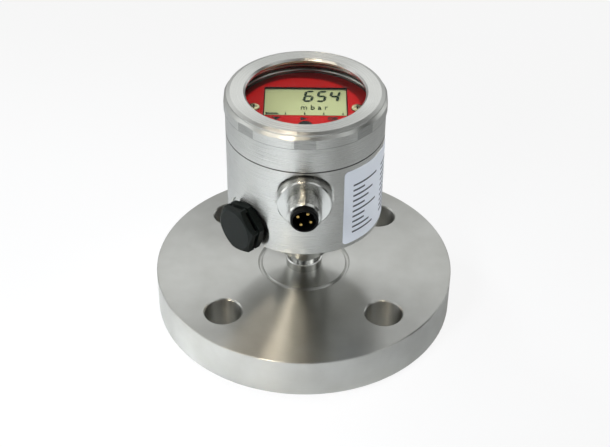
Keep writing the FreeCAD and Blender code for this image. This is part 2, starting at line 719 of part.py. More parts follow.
gasket_outside = "pane_diameter / 2 - pane_clearance"
gasket_inside = f"{gasket_outside} - gasket_width"
turned("window_gasket", ring_corners(gasket_inside, gasket_outside, "pane_top", "gasket_top"))
turned("window_pane", ring_corners(ZERO, "pane_diameter / 2", "pane_bottom", "pane_top"))
ring_seal("window_snap_ring", "pane_room", "snap_wire", "snap_middle")
ring_seal("cover_seal", "cover_seal_radius", "cover_seal_wire", "housing_top + cover_seal_wire / 2")

# Display plate with its screen opening, key holes and screw holes
plate = turned("display_plate", ring_corners(ZERO, "plate_diameter / 2", "plate_bottom", "plate_top"))
cut_pocket(
    plate,
    lambda sketch: draw_rectangle(
        sketch,
        ZERO,
        "screen_centre",
        "screen_width + 2 * screen_reveal",
        "screen_depth + 2 * screen_reveal",
    ),
    "plate_bottom",
    "plate_top",
)
key_hole = cut_pocket(
    plate,
    lambda sketch: draw_circle(sketch, "key_diameter + 2 * key_clearance", "-key_pitch", "-key_front"),
    "plate_bottom",
    "plate_top",
)
repeat_along(plate, [key_hole], "key_pitch * (key_count - 1)", "key_count")


def cut_recess(body, across, along, top):
    """Cut the cross recess of one screw head down from its top."""
    reach, arm = "recess_reach / 2", "recess_width / 2"
    outline = (
        (arm, reach), (arm, arm), (reach, arm),
        (reach, f"-{arm}"), (arm, f"-{arm}"), (arm, f"-{reach}"),
        (f"-{arm}", f"-{reach}"), (f"-{arm}", f"-{arm}"), (f"-{reach}", f"-{arm}"),
        (f"-{reach}", arm), (f"-{arm}", arm), (f"-{arm}", reach),
    )
    corners = [(f"{across} + ({x})", f"{along} + ({y})") for x, y in outline]
    return cut_pocket(body, lambda sketch: draw_polygon(sketch, corners), f"{top} - recess_depth", top)


def round_heads(body, top):
    dress(
        body,
        "Fillet",
        lambda edge: at_circle(edge, "screw_head_diameter", top),
        "Radius",
        "screw_head_round",
    )


def drill_pair(body, diameter, low, high):
    """Drill the two holes of the plate screws."""
    hole = cut_pocket(
        body,
        lambda sketch: draw_circle(sketch, diameter, "screw_spread / 2"),
        low,
        high,
    )
    repeat_round(body, [hole], "plate_screw_count")


drill_pair(plate, "screw_hole", "plate_bottom", "plate_top")

frame = add_body("screen_frame")
raise_pad(
    frame,
    lambda sketch: draw_rectangle(
        sketch,
        ZERO,
        "screen_centre",
        "screen_width + 2 * screen_reveal",
        "screen_depth + 2 * screen_reveal",
    ),
    "plate_bottom",
    "frame_top",
)
cut_pocket(
    frame,
    lambda sketch: draw_rectangle(sketch, ZERO, "screen_centre", "screen_width", "screen_depth"),
    "plate_bottom",
    "frame_top",
)
screen = add_body("screen_panel")
raise_pad(
    screen,
    lambda sketch: draw_rectangle(
        sketch,
        ZERO,
        "screen_centre",
        "screen_width + 2 * screen_border",
        "screen_depth + 2 * screen_border",
    ),
    "screen_bottom",
    "plate_bottom",
)
display_board = turned(
    "display_board", ring_corners(ZERO, "plate_diameter / 2", "display_board_bottom", "screen_bottom")
)
drill_pair(display_board, "screw_hole", "display_board_bottom", "screen_bottom")
carrier = turned(
    "display_carrier",
    ring_corners("carrier_opening / 2", "carrier_radius", "carrier_bottom", "display_board_bottom"),
)
drill_pair(
    carrier,
    "screw_hole",
    "display_board_bottom - screw_grip - screw_clearance",
    "display_board_bottom",
)

spacers = add_body("plate_spacers")
tube = raise_pad(
    spacers,
    lambda sketch: [
        draw_circle(sketch, diameter, "screw_spread / 2")
        for diameter in ("spacer_diameter", "screw_hole")
    ],
    "screen_bottom",
    "plate_bottom",
)
repeat_round(spacers, [tube], "plate_screw_count")
screws = add_body("plate_screws")
shank = raise_pad(
    screws,
    lambda sketch: draw_circle(sketch, "screw_diameter", "screw_spread / 2"),
    "display_board_bottom - screw_grip",
    "plate_top",
)
head = raise_pad(
    screws,
    lambda sketch: draw_circle(sketch, "screw_head_diameter", "screw_spread / 2"),
    "plate_top",
    "plate_top + screw_head_height",
)
recess = cut_recess(screws, "screw_spread / 2", ZERO, "plate_top + screw_head_height")
repeat_round(screws, [shank, head, recess], "plate_screw_count")
round_heads(screws, "plate_top + screw_head_height")

# Keys and the switches below them
for key_label, key_place in (
    ("key_down", "-key_pitch"),
    ("key_right", "0 * key_pitch"),
    ("key_ok", "key_pitch"),
):
    key = add_body(key_label)
    for diameter, low, high in (
        ("key_collar_diameter", "key_bottom", "key_collar_top"),
        ("key_diameter", "key_collar_top", "plate_top + key_proud"),
    ):
        raise_pad(
            key,
            lambda sketch, diameter=diameter, place=key_place: draw_circle(
                sketch, diameter, place, "-key_front"
            ),
            low,
            high,
        )
switches = add_body("key_switches")
switch = raise_pad(
    switches,
    lambda sketch: draw_rectangle(sketch, "-key_pitch", "-key_front", "switch_width", "switch_width"),
    "screen_bottom",
    "switch_top",
)
repeat_along(switches, [switch], "key_pitch * (key_count - 1)", "key_count")

# Main board on its standoffs, and what it carries
standoff_place = (
    "standoff_circle / 2 * cos(standoff_angle)",
    "standoff_circle / 2 * sin(standoff_angle)",
)
standoffs = add_body("board_standoffs")
standoff = raise_pad(
    standoffs,
    lambda sketch: draw_circle(sketch, "standoff_diameter", *standoff_place),
    "floor_top",
    "board_bottom",
)
standoff_hole = cut_pocket(
    standoffs,
    lambda sketch: draw_circle(sketch, "screw_hole", *standoff_place),
    "board_bottom - board_screw_grip - screw_clearance",
    "board_bottom",
)
repeat_round(standoffs, [standoff, standoff_hole], "standoff_count")
main_board = turned("main_board", ring_corners(ZERO, "board_diameter / 2", "board_bottom", "board_top"))
board_hole = cut_pocket(
    main_board,
    lambda sketch: draw_circle(sketch, "screw_hole", *standoff_place),
    "board_bottom",
    "board_top",
)
repeat_round(main_board, [board_hole], "standoff_count")
board_screws = add_body("board_screws")
board_shank = raise_pad(
    board_screws,
    lambda sketch: draw_circle(sketch, "screw_diameter", *standoff_place),
    "board_bottom - board_screw_grip",
    "board_top",
)
board_head = raise_pad(
    board_screws,
    lambda sketch: draw_circle(sketch, "screw_head_diameter", *standoff_place),
    "board_top",
    "board_top + screw_head_height",
)
board_recess = cut_recess(board_screws, *standoff_place, "board_top + screw_head_height")
repeat_round(board_screws, [board_shank, board_head, board_recess], "standoff_count")
round_heads(board_screws, "board_top + screw_head_height")
header = add_body("board_header")
raise_pad(
    header,
    lambda sketch: draw_rectangle(sketch, ZERO, "header_back", "header_length", "header_width"),
    "board_top",
    "display_board_bottom",
)
chips = add_body("board_chips")
chip = raise_pad(
    chips,
    lambda sketch: draw_rectangle(sketch, "-chip_spread / 2", ZERO, "chip_width", "chip_width"),
    "board_top",
    "board_top + chip_height",
)
repeat_along(chips, [chip], "chip_spread", "chip_count")

# Plug connector in the front of the housing
turned(
    "connector_seal",
    ring_corners(
        "connector_ring_diameter / 2 - edge_break - connector_seal_width",
        "connector_ring_diameter / 2 - edge_break",
        "seat_reach",
        "ring_back",
    ),
    "connector_axis",
    FORWARD,
)
turned(
    "connector_shell",
    (
        ("insert_diameter / 2 + insert_clearance", "connector_inside"),
        ("connector_thread / 2", "connector_inside"),
        ("connector_thread / 2", "ring_back"),
        ("connector_ring_diameter / 2", "ring_back"),
        ("connector_ring_diameter / 2", "ring_front - edge_break"),
        ("connector_ring_diameter / 2 - edge_break", "ring_front"),
        ("barrel_diameter / 2 - undercut_depth", "ring_front"),
        ("barrel_diameter / 2 - undercut_depth", "ring_front + undercut_width"),
        ("barrel_diameter / 2", "ring_front + undercut_width + undercut_depth"),
        ("barrel_diameter / 2", "barrel_front - barrel_chamfer"),
        ("barrel_diameter / 2 - barrel_chamfer", "barrel_front"),
        ("insert_diameter / 2 + insert_clearance", "barrel_front"),
    ),
    "connector_axis",
    FORWARD,
)
insert = turned(
    "connector_insert",
    (
        (ZERO, "insert_back"),
        ("connector_thread / 2 - edge_break", "insert_back"),
        ("connector_thread / 2 - edge_break", "connector_inside"),
        ("insert_diameter / 2", "connector_inside"),
        ("insert_diameter / 2", "insert_front - edge_break"),
        ("insert_diameter / 2 - edge_break", "insert_front"),
        ("contact_opening / 2", "insert_front"),
        ("contact_opening / 2", "contact_floor"),
        (ZERO, "contact_floor"),
    ),
    "connector_axis",
    FORWARD,
)
contact_place = (
    "contact_circle / 2 * cos(contact_angle)",
    "contact_circle / 2 * sin(contact_angle)",
)
contact_hole = cut_pocket(
    insert,
    lambda sketch: draw_circle(sketch, "contact_diameter + 2 * insert_clearance", *contact_place),
    "insert_back",
    "contact_floor",
)
repeat_round(insert, [contact_hole], "contact_count")
raise_pad(
    insert,
    lambda sketch: draw_polygon(
        sketch,
        [
            (
                f"{reach} * cos(coding_angle) - ({aside}) * sin(coding_angle)",
                f"{reach} * sin(coding_angle) + ({aside}) * cos(coding_angle)",
            )
            for reach, aside in (
                ("coding_rib_top", "-coding_rib_width / 2"),
                ("coding_rib_root", "-coding_rib_width / 2"),
                ("coding_rib_root", "coding_rib_width / 2"),
                ("coding_rib_top", "coding_rib_width / 2"),
            )
        ],
    ),
    "contact_floor",
    "insert_front - coding_rib_recess",
)
contacts = add_body("connector_pins", "connector_axis", FORWARD)
contact = raise_pad(
    contacts,
    lambda sketch: draw_circle(sketch, "contact_diameter", *contact_place),
    "contact_back",
    "insert_front - contact_recess",
)
repeat_round(contacts, [contact], "contact_count")

leads = add_body("connector_leads")
for quarter in range(int(value_of("contact_count"))):
    turn_angle = f"(contact_angle + {quarter} * 360 / contact_count)"
    raise_pad(
        leads,
        lambda sketch, angle=turn_angle: draw_circle(
            sketch,
            "lead_diameter",
            f"contact_circle / 2 * cos({angle})",
            "-contact_back - lead_diameter",
        ),
        "board_top",
        f"connector_axis + contact_circle / 2 * sin({turn_angle}) - contact_diameter / 2 - lead_gap",
    )

# Vent plug at the side of the housing
turned(
    "vent_seal",
    ring_corners(
        "vent_thread / 2 + wall_clearance",
        "vent_thread / 2 + vent_seal_width",
        "seat_reach",
        "vent_base_back",
    ),
    "vent_axis",
    VENT_WARD,
)
vent_body = add_body("vent_body", "vent_axis", VENT_WARD)
raise_pad(
    vent_body,
    lambda sketch: draw_polygon(sketch, hexagon("vent_flats")),
    "vent_base_back",
    "vent_base_front",
)
turn(
    vent_body,
    (
        ("vent_corner + vent_base_chamfer", "vent_base_back"),
        ("vent_corner + vent_base_chamfer", "vent_base_back + vent_base_chamfer"),
        ("vent_corner", "vent_base_back + vent_base_chamfer"),
        ("vent_flats / 2", "vent_base_back"),
    ),
    "Groove",
)
raise_pad(
    vent_body,
    lambda sketch: draw_circle(sketch, "vent_thread"),
    "vent_inside",
    "vent_base_back",
)
raise_pad(
    vent_body,
    lambda sketch: draw_circle(sketch, "vent_boss"),
    "vent_base_front",
    "vent_boss_front",
)
cut_pocket(
    vent_body, lambda sketch: draw_circle(sketch, "vent_passage"), "vent_inside", "vent_boss_front"
)
membrane_room = "membrane_diameter + 2 * socket_clearance"
cut_pocket(
    vent_body,
    lambda sketch: draw_circle(sketch, membrane_room),
    "vent_base_front",
    "vent_boss_front",
)
turned(
    "vent_membrane",
    ring_corners(ZERO, "membrane_diameter / 2", "vent_base_front", "vent_base_front + membrane_thickness"),
    "vent_axis",
    VENT_WARD,
)
vent_cap = add_body("vent_cap", "vent_axis", VENT_WARD)
raise_pad(
    vent_cap,
    lambda sketch: draw_polygon(sketch, hexagon("vent_flats")),
    "vent_cap_back",
    "vent_cap_front",
)
turn(
    vent_cap,
    (
        ("vent_corner + vent_chamfer", "vent_cap_front"),
        ("vent_corner - vent_chamfer_width", "vent_cap_front"),
        ("vent_corner + vent_chamfer", "vent_cap_front - vent_chamfer_fall"),
    ),
    "Groove",
)
cut_pocket(
    vent_cap,
    lambda sketch: draw_circle(sketch, "vent_boss + 2 * socket_clearance"),
    "vent_cap_back",
    "vent_boss_front",
)
slot = cut_pocket(
    vent_cap,
    lambda sketch: draw_rectangle(sketch, "vent_flats / 2", ZERO, "2 * slot_depth", "slot_width"),
    "vent_cap_back",
    "vent_cap_back + slot_height",
)
repeat_round(vent_cap, [slot], "slot_count")

# Label, a thin sheet bent round the housing
label = add_body("rating_label", ZERO, "rotationz(label_azimuth - 90)")
turn(
    label,
    ring_corners(
        "housing_diameter / 2",
        "housing_diameter / 2 + label_thickness",
        "housing_bottom + label_bottom",
        "housing_top - label_top",
    ),
    sweep="label_sweep",
)
dress(
    label,
    "Fillet",
    lambda edge: abs(edge.Length - value_of("label_thickness")) < LENGTH_TOLERANCE,
    "Radius",
    "label_corner",
)

# Check every object, then write each sub-part
doc.recompute()
faults = [
    item.Label
    for item in doc.Objects
    if "Invalid" in item.State or "Error" in item.State
]
for node in nodes:
    if node.Shape.isNull() or not node.Shape.isValid() or not node.Shape.Solids:
        faults.append(node.Label)
if faults:
    raise RuntimeError("not built: " + ", ".join(faults))
os.makedirs("parts", exist_ok=True)
for node in nodes:
    node.Shape.exportStep(f"parts/{node.Label}.step")
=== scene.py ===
"""Finishes, printed marks and studio stage of a flanged pressure transmitter."""

import math

import bmesh
import bpy
from mathutils import Matrix, Vector


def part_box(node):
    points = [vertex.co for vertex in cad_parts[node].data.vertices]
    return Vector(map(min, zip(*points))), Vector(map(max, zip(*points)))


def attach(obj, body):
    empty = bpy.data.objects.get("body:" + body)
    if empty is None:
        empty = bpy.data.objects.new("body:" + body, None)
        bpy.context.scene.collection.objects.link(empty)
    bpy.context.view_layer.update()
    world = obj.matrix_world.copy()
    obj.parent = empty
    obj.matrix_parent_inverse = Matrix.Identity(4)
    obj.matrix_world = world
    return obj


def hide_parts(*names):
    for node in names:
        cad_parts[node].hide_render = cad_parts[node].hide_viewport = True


bl_info = {
    "name": "Pressure transmitter looks",
    "version": (1, 0, 0),
    "blender": (4, 5, 0),
    "location": "View3D > Sidebar > Transmitter",
    "description": "Finishes, display marks and stage of a flanged pressure transmitter",
    "category": "Object",
}

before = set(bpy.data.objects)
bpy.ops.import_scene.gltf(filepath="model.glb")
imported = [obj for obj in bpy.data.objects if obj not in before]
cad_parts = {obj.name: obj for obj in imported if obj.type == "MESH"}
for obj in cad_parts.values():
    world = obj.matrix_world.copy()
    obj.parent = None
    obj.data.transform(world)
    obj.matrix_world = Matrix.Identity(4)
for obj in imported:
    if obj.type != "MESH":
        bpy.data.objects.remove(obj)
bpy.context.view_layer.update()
MM = 0.001
PHOTO_WIDTH = 610
SENSOR_WIDTH = 36.0

# Levels and edges that the marks take from the solids
FLANGE_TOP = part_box("process_flange")[1].z
PLATE_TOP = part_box("display_plate")[1].z
SCREW_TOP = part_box("plate_screws")[1].z
PANEL_LOW, PANEL_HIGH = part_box("screen_panel")
CONNECTOR_LEVEL = sum(corner.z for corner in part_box("connector_shell")) / 2
BARREL_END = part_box("connector_shell")[0].y
LABEL_LOW, LABEL_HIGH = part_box("rating_label")
HOUSING_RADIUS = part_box("housing")[1].x
SEAM_LEVEL, RING_TOP = (corner.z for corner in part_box("cover_ring"))

# Steel: clouds that hands leave and their share in the sheen, and the depth of the turning marks
CLOUD_WIDTH = 12 * MM
CLOUD_SHARE = 0.25
TURNING_DEPTH = 0.012 * MM
# Painted shade: a dark line in the seam and in the corner below the band
SHADE_LINE_COLOUR = "#4E4D48"
# Painted shade: the flats of the band are a darker grey than the turned wall
FLAT_SHADE_COLOUR = "#A9AAA6"
FLAT_MARGIN = 0.01 * MM

# Slopes and walls of the steel, told apart by how far their normal points up
SLOPE_RISE = 0.6
SLOPE_RANGE = 0.34
SLOPE_ROUGHNESS = 0.35
WALL_RISE = 0.1

# Other finishes: clouds in plastics as a number of grains, patches in plating, dust on clear sheets
CLOUD_GRAINS = 18
PLASTIC_RELIEF = 0.4
PATCH_WIDTH = 0.8 * MM
PATCH_DEPTH = 0.005 * MM
PATCH_RELIEF = 0.3
DUST_WIDTH = 6 * MM
DUST_HAZE = (0.02, 0.07)

# Lines of painted shade on the steel, by half their height, and the depth of the drive in a screw head
SEAM_HALF = 0.25 * MM
BAND_HALF = 0.15 * MM
DRIVE_DEPTH = 0.3 * MM
# Painted shade in the drive of a screw head and round the foot of the head
SCREW_SHADE_COLOUR = "#3A2F22"

# Layers of the screen: front sheet, wall of the tray, play between them, marks below the sheet
FRONT_THICKNESS = 0.2 * MM
TRAY_WALL = 0.3 * MM
SHEET_PLAY = 0.02 * MM
MARK_FOOT = 0.05 * MM
MARK_TOP = 0.01 * MM

# Marks on the display in millimetres from its middle: boxes run left, bottom, right, top
UNIT_BOX = (-1.7, 0.0, 8.1, 3.2)
OK_BOX = (7.9, -8.0, 12.1, -5.7)
DOWN_ARROW = ((-12.1, -5.95), (-10.4, -8.2), (-8.7, -5.95))
RIGHT_ARROW = ((-1.8, -8.2), (1.0, -7.05), (-1.8, -5.9))
PRINT_THICKNESS = 0.03 * MM
WELD_DISTANCE = 1e-7
TICK_SIZE = (0.45 * MM, 1.5 * MM, 0.04 * MM)
BAR_SIZE = (0.28 * MM, 1.3 * MM, 0.03 * MM)
BAR_LEAN = math.radians(32)

# Rows of the label: the shortest as a share of the longest, and the points that bend each row
SHORTEST_ROW = 0.4
ROW_VERTICES = 13

# Segments that each digit of the screen drives
SEGMENTS_OF = {
    "0": "abcdef",
    "1": "bc",
    "2": "abged",
    "3": "abgcd",
    "4": "fgbc",
    "5": "afgcd",
    "6": "afgedc",
    "7": "abc",
    "8": "abcdefg",
    "9": "abcdfg",
}

# Floor: a round sheet of paper, and how much of it shows as plain white to the eye and in steel
FLOOR_RADIUS = 6.0
FLOOR_DROP = 0.1 * MM
SEEN_SHARE = 0.9
MIRRORED_SHARE = 0.08

# Soft panels of the studio: the way towards each, its strength and its half width in degrees
ROOM_LEVEL = 0.04
SOFT_PANELS = {
    "back_left": ((-0.6, 0.65, 0.5), 1.1, 15),
    "left": ((-0.95, -0.1, 0.2), 3.6, 14),
    "low_right": ((0.8, 0.55, 0.22), 1.4, 14),
}

# Panels that only show as reflections
MIRRORED_PANELS = {
    "back": ((0.03, 0.86, 0.51), 1.25, 14),
    "front_left_box": ((-0.5, -0.46, 0.73), 1.9, 10),
    "front_right_box": ((0.36, -0.54, 0.76), 1.2, 9),
    "right_box": ((0.68, -0.3, 0.66), 2.2, 9),
}

# Lamps that light the paper and the colours: place, target, width, spread in degrees and tint
LAMPS = {
    "left": ((-0.38, 0.3, 0.28), (-0.03, -0.07, 0.0), 0.15, 50, "#F1F6FF"),
    "front": ((-0.26, -0.38, 0.3), (-0.07, -0.12, 0.0), 0.15, 38, "#F1F6FF"),
    "right": ((0.5, -0.12, 0.14), (0.03, -0.02, 0.06), 0.15, 40, "#F4F8FF"),
    "window": ((0.16, 0.1, 0.9), (0.0, 0.0, 0.09), 0.06, 8, "#FFF8EE"),
}

# Narrow lamps above, which the turned flange mirrors as streaks: place, width and power
STRIP_LAMPS = {
    "outer_strip": ((-0.42, -0.1, 0.9), 0.03, 0.027),
    "main_strip": ((-0.22, -0.3, 0.87), 0.02, 0.066),
    "thin_strip": ((-0.02, -0.3, 0.87), 0.012, 0.012),
}
STRIP_TARGET = (-0.01, -0.04, 0.03)
STRIP_LENGTH = 0.3
STRIP_SPREAD = 24
STRIP_TINT = "#FFEFD8"


def linear(code):
    """Turn an sRGB hex value into linear red, green, blue and alpha."""
    parts = [int(code[start : start + 2], 16) / 255 for start in (1, 3, 5)]
    curve = [c / 12.92 if c <= 0.04045 else ((c + 0.055) / 1.055) ** 2.4 for c in parts]
    return (*curve, 1.0)


def length(name, description, default):
    return bpy.props.FloatProperty(
        name=name, description=description, default=default, unit="LENGTH", precision=5
    )


def colour(name, description, code):
    return bpy.props.FloatVectorProperty(
        name=name, description=description, default=linear(code), size=4, min=0, max=1, subtype="COLOR"
    )


def angle(name, description, degrees):
    return bpy.props.FloatProperty(
        name=name, description=description, default=math.radians(degrees), unit="ROTATION"
    )


def power(name, description, watts):
    return bpy.props.FloatProperty(name=name, description=description, default=watts, unit="POWER")


def count(name, description, default):
    return bpy.props.IntProperty(name=name, description=description, default=default, min=1)


class TransmitterSteel(bpy.types.PropertyGroup):
    """Colours and turning marks of the steel."""

    pale: colour("Steel", "Turned stainless steel where it is clean", "#D0D1CD")
    dull: colour("Handled steel", "Turned stainless steel where it was handled", "#C1C2BD")
    worn: colour("Stained steel", "Turned stainless steel of the flange where it is stained", "#B2B2AC")
    bright: colour("Polished steel", "Polished stainless steel", "#DCDDDA")
    lay: length("Lay", "Spacing of the turning marks that show", 0.4 * MM)
    fine_lay: length("Fine lay", "Spacing of the finest turning marks", 0.22 * MM)
    band_drop: length("Band drop", "Foot of the wrench band below the top of the ring", 5.85 * MM)
    band_width: length("Band", "Diameter of the wrench band", 58.8 * MM)
    flats_width: length("Flats", "Width across the flats of the wrench band", 58.3 * MM)
    barrel_width: length("Barrel", "Diameter of the barrel of the connector", 12.0 * MM)
    thread_pitch: length("Thread pitch", "Spacing of the turns on the barrel", 1.0 * MM)
    thread_length: length("Thread length", "Length of the thread on the barrel", 6.0 * MM)
    thread_relief: length("Thread relief", "Plain end of the barrel in front of the thread", 0.9 * MM)
    thread_ridge: length("Thread ridge", "Height of the thread above the barrel", 0.16 * MM)


class TransmitterDisplay(bpy.types.PropertyGroup):
    """Colours and sizes of the display."""

    plate: colour("Plate", "Red display plate", "#B01518")
    screen: colour("Screen", "Reflecting film of the screen", "#BCBEA4")
    segment: colour("Segment", "Driven segments of the screen", "#1F2B2A")
    ink: colour("Ink", "Ink of the key symbols", "#1B1D1E")
    number: bpy.props.StringProperty(name="Number", description="Digits on the screen", default="654")
    unit: bpy.props.StringProperty(name="Unit", description="Unit below the digits", default="mbar")
    digit_left: length("Digit place", "Lower left corner of the first digit from the middle", -0.75 * MM)
    digit_bottom: length("Digit level", "Lower edge of the digits from the middle", 5.9 * MM)
    digit_height: length("Digit height", "Height of a digit", 6.5 * MM)
    digit_width: length("Digit width", "Width of a digit", 2.75 * MM)
    digit_pitch: length("Digit pitch", "Spacing of the digits", 4.7 * MM)
    digit_stroke: length("Digit stroke", "Width of a segment", 1.0 * MM)
    digit_gap: length("Digit gap", "Gap at each end of a segment", 0.1 * MM)
    digit_slant: angle("Digit slant", "Lean of the digits", 9.0)
    film_depth: length("Film depth", "Reflecting film below the top of the screen", 0.4 * MM)
    scale_left: length("Scale place", "Left end of the scale from the middle", -14.0 * MM)
    scale_level: length("Scale level", "Middle of the scale from the middle", -2.6 * MM)
    tick_count: count("Ticks", "Ticks of the scale", 5)
    tick_pitch: length("Tick pitch", "Spacing of the ticks", 6.85 * MM)
    bar_count: count("Bars", "Driven bars of the scale", 9)
    bar_pitch: length("Bar pitch", "Spacing of the bars", 0.5 * MM)


class TransmitterLabel(bpy.types.PropertyGroup):
    """Colours and rows of the label."""

    film: colour("Film", "Label film", "#E6EAEF")
    ink: colour("Ink", "Rows of the label", "#3A3E44")
    column_count: count("Columns", "Columns of rows", 3)
    column_pitch: length("Column pitch", "Spacing of the columns", 17.0 * MM)
    row_count: count("Rows", "Rows of one column", 10)
    row_pitch: length("Row pitch", "Spacing of the rows", 2.3 * MM)
    row_height: length("Row height", "Height of a row", 0.75 * MM)
    row_length: length("Row length", "Length of the longest row", 13.0 * MM)
    side_margin: length("Side margin", "First column from the edge of the label", 4.0 * MM)
    foot_margin: length("Foot margin", "Lowest row from the edge of the label", 4.5 * MM)


class TransmitterStage(bpy.types.PropertyGroup):
    """Camera, lamps and floor."""

    floor: colour("Floor", "Pale floor", "#F4F4F2")
    distance: length("Camera distance", "Camera from the middle of the flange", 0.499)
    elevation: angle("Camera elevation", "Camera above the flange", 39.36)
    roll: angle("Camera roll", "Turn about the line of sight", -0.6)
    pan: angle("Camera pan", "Turn to the side", 0.03)
    tilt: angle("Camera tilt", "Turn up or down", -1.7)
    focal: bpy.props.FloatProperty(
        name="Focal length",
        description="Focal length in pixels of the frame",
        default=1269.0,
        subtype="PIXEL",
    )
    left: power("Left lamp", "Lamp behind on the left", 0.22)
    front: power("Front lamp", "Lamp in front on the left", 0.22)
    right: power("Right lamp", "Lamp on the right", 0.066)
    window: power("Window lamp", "Lamp above that lights the display", 0.019)


def add(tree, kind, settings=(), inputs=()):
    """Add a node with its settings, and fill or link its inputs."""
    node = tree.nodes.new(kind)
    for name, value in dict(settings).items():
        setattr(node, name, value)
    for key, value in dict(inputs).items():
        if isinstance(value, bpy.types.NodeSocket):
            tree.links.new(value, node.inputs[key])
        else:
            node.inputs[key].default_value = value
    return node


def reckon(tree, operation, *values):
    """Work out a number with a math node."""
    node = add(tree, "ShaderNodeMath", {"operation": operation}, dict(enumerate(values)))
    return node.outputs["Value"]


def vector(tree, **parts):
    """Join numbers to a vector."""
    return add(tree, "ShaderNodeCombineXYZ", {}, parts).outputs["Vector"]


def parted(tree, whole):
    """Split a vector into its X, Y and Z."""
    return add(tree, "ShaderNodeSeparateXYZ", {}, {"Vector": whole}).outputs


def mix_numbers(tree, share, first, second):
    """Mix two numbers, which a mix node takes on its third and fourth sockets."""
    node = add(tree, "ShaderNodeMix", {"data_type": "FLOAT"}, {0: share, 2: first, 3: second})
    return node.outputs[0]


def mix_colours(tree, share, first, second):
    """Mix two colours, which a mix node takes on its seventh and eighth sockets."""
    node = add(tree, "ShaderNodeMix", {"data_type": "RGBA"}, {0: share, 6: first, 7: second})
    return node.outputs[2]


def noise(tree, place, width, detail=3.0):
    """Cloudy noise whose patches are about this wide."""
    inputs = {"Vector": place, "Scale": 1 / width, "Detail": detail}
    return add(tree, "ShaderNodeTexNoise", {}, inputs).outputs["Fac"]


def between(tree, pattern, low, high):
    """Let the busy middle of a noise run from low to high."""
    inputs = {"Value": pattern, "From Min": 0.3, "From Max": 0.7, "To Min": low, "To Max": high}
    return add(tree, "ShaderNodeMapRange", {}, inputs).outputs["Result"]


def object_place(tree):
    return add(tree, "ShaderNodeTexCoord").outputs["Object"]


def start_material(name, sockets):
    """Start a material and set the values that are the same all over its surface."""
    material = bpy.data.materials.new(name)
    material.use_nodes = True
    shader = material.node_tree.nodes["Principled BSDF"]
    for socket, value in sockets.items():
        shader.inputs[socket].default_value = value
    return material, material.node_tree, shader


def roughen(tree, shader, pattern, rough, depth, share):
    """Let a pattern vary the roughness and press a shallow relief."""
    sheen = between(tree, pattern, *rough)
    relief = add(tree, "ShaderNodeBump", {}, {"Height": pattern, "Distance": depth, "Strength": share})
    tree.links.new(sheen, shader.inputs["Roughness"])
    tree.links.new(relief.outputs["Normal"], shader.inputs["Normal"])
    return sheen


def turned_stainless(
    name, pale, dull, lay, rough, anisotropy, relief=0.1, turn=None, shade_lines=(), shaded_flats=None
):
    """Stainless steel from the lathe: fine rings round the axis stretch each reflection across them.

    Slopes between a face and a wall have a softer sheen.
    At each given level a dark line is painted as shade, as in the seam and the corner below a step.
    Above a level and between two widths, the flats are painted a darker grey than the turned wall, as
    painted shade.
    """
    material, tree, shader = start_material(name, {"Metallic": 1.0, "Anisotropic": anisotropy})
    place = object_place(tree)
    if turn:
        place = add(tree, "ShaderNodeMapping", {}, {"Vector": place, **turn}).outputs["Vector"]
    axes = parted(tree, place)
    across = vector(tree, X=axes["X"], Y=axes["Y"])
    radius = add(tree, "ShaderNodeVectorMath", {"operation": "LENGTH"}, {0: across}).outputs["Value"]
    rings = add(
        tree,
        "ShaderNodeTexNoise",
        {"noise_dimensions": "1D"},
        {"W": reckon(tree, "ADD", radius, axes["Z"]), "Scale": 1 / lay, "Detail": 3.0, "Roughness": 0.6},
    ).outputs["Fac"]
    # Faint clouds where hands and cloths have been
    clouds = noise(tree, place, CLOUD_WIDTH, detail=6.0)
    tint = mix_colours(tree, clouds, pale, dull)
    # Painted shade: a dark line at each given level
    for level, half in shade_lines:
        shade_line = reckon(tree, "COMPARE", axes["Z"], level, half)
        tint = mix_colours(tree, shade_line, tint, linear(SHADE_LINE_COLOUR))
    normal = add(tree, "ShaderNodeNewGeometry").outputs["Normal"]
    rise = reckon(tree, "ABSOLUTE", parted(tree, normal)["Z"])
    # Painted shade: the flats of the band a darker grey than the wall
    if shaded_flats:
        foot, narrow, wide = shaded_flats
        above = reckon(tree, "GREATER_THAN", axes["Z"], foot)
        # The band itself, at the wide end of the range, stays out
        middle, half = (narrow + wide) / 4 - FLAT_MARGIN, (wide - narrow) / 4
        inside = reckon(tree, "COMPARE", radius, middle, half)
        upright = reckon(tree, "LESS_THAN", rise, WALL_RISE)
        flat = reckon(tree, "MULTIPLY", reckon(tree, "MULTIPLY", above, inside), upright)
        tint = mix_colours(tree, flat, tint, linear(FLAT_SHADE_COLOUR))
    tree.links.new(tint, shader.inputs["Base Color"])
    pattern = mix_numbers(tree, CLOUD_SHARE, rings, clouds)
    sheen = roughen(tree, shader, pattern, rough, TURNING_DEPTH, relief)
    if not turn:
        slope = reckon(tree, "COMPARE", rise, SLOPE_RISE, SLOPE_RANGE)
        tree.links.new(mix_numbers(tree, slope, sheen, SLOPE_ROUGHNESS), shader.inputs["Roughness"])
    # The reflection is stretched square to the rings, out from the axis or up a wall
    ring = vector(tree, X=reckon(tree, "MULTIPLY", axes["Y"], -1.0), Y=axes["X"])
    if turn:
        undo = {"Rotation": tuple(-part for part in turn["Rotation"])}
        ring = add(
            tree, "ShaderNodeMapping", {"vector_type": "VECTOR"}, {"Vector": ring, **undo}
        ).outputs["Vector"]
    ring = add(
        tree,
        "ShaderNodeVectorTransform",
        {"vector_type": "VECTOR", "convert_from": "OBJECT", "convert_to": "WORLD"},
        {"Vector": ring},
    ).outputs["Vector"]
    tangent = add(tree, "ShaderNodeVectorMath", {"operation": "CROSS_PRODUCT"}, {0: ring, 1: normal})
    tree.links.new(tangent.outputs["Vector"], shader.inputs["Tangent"])
    return material


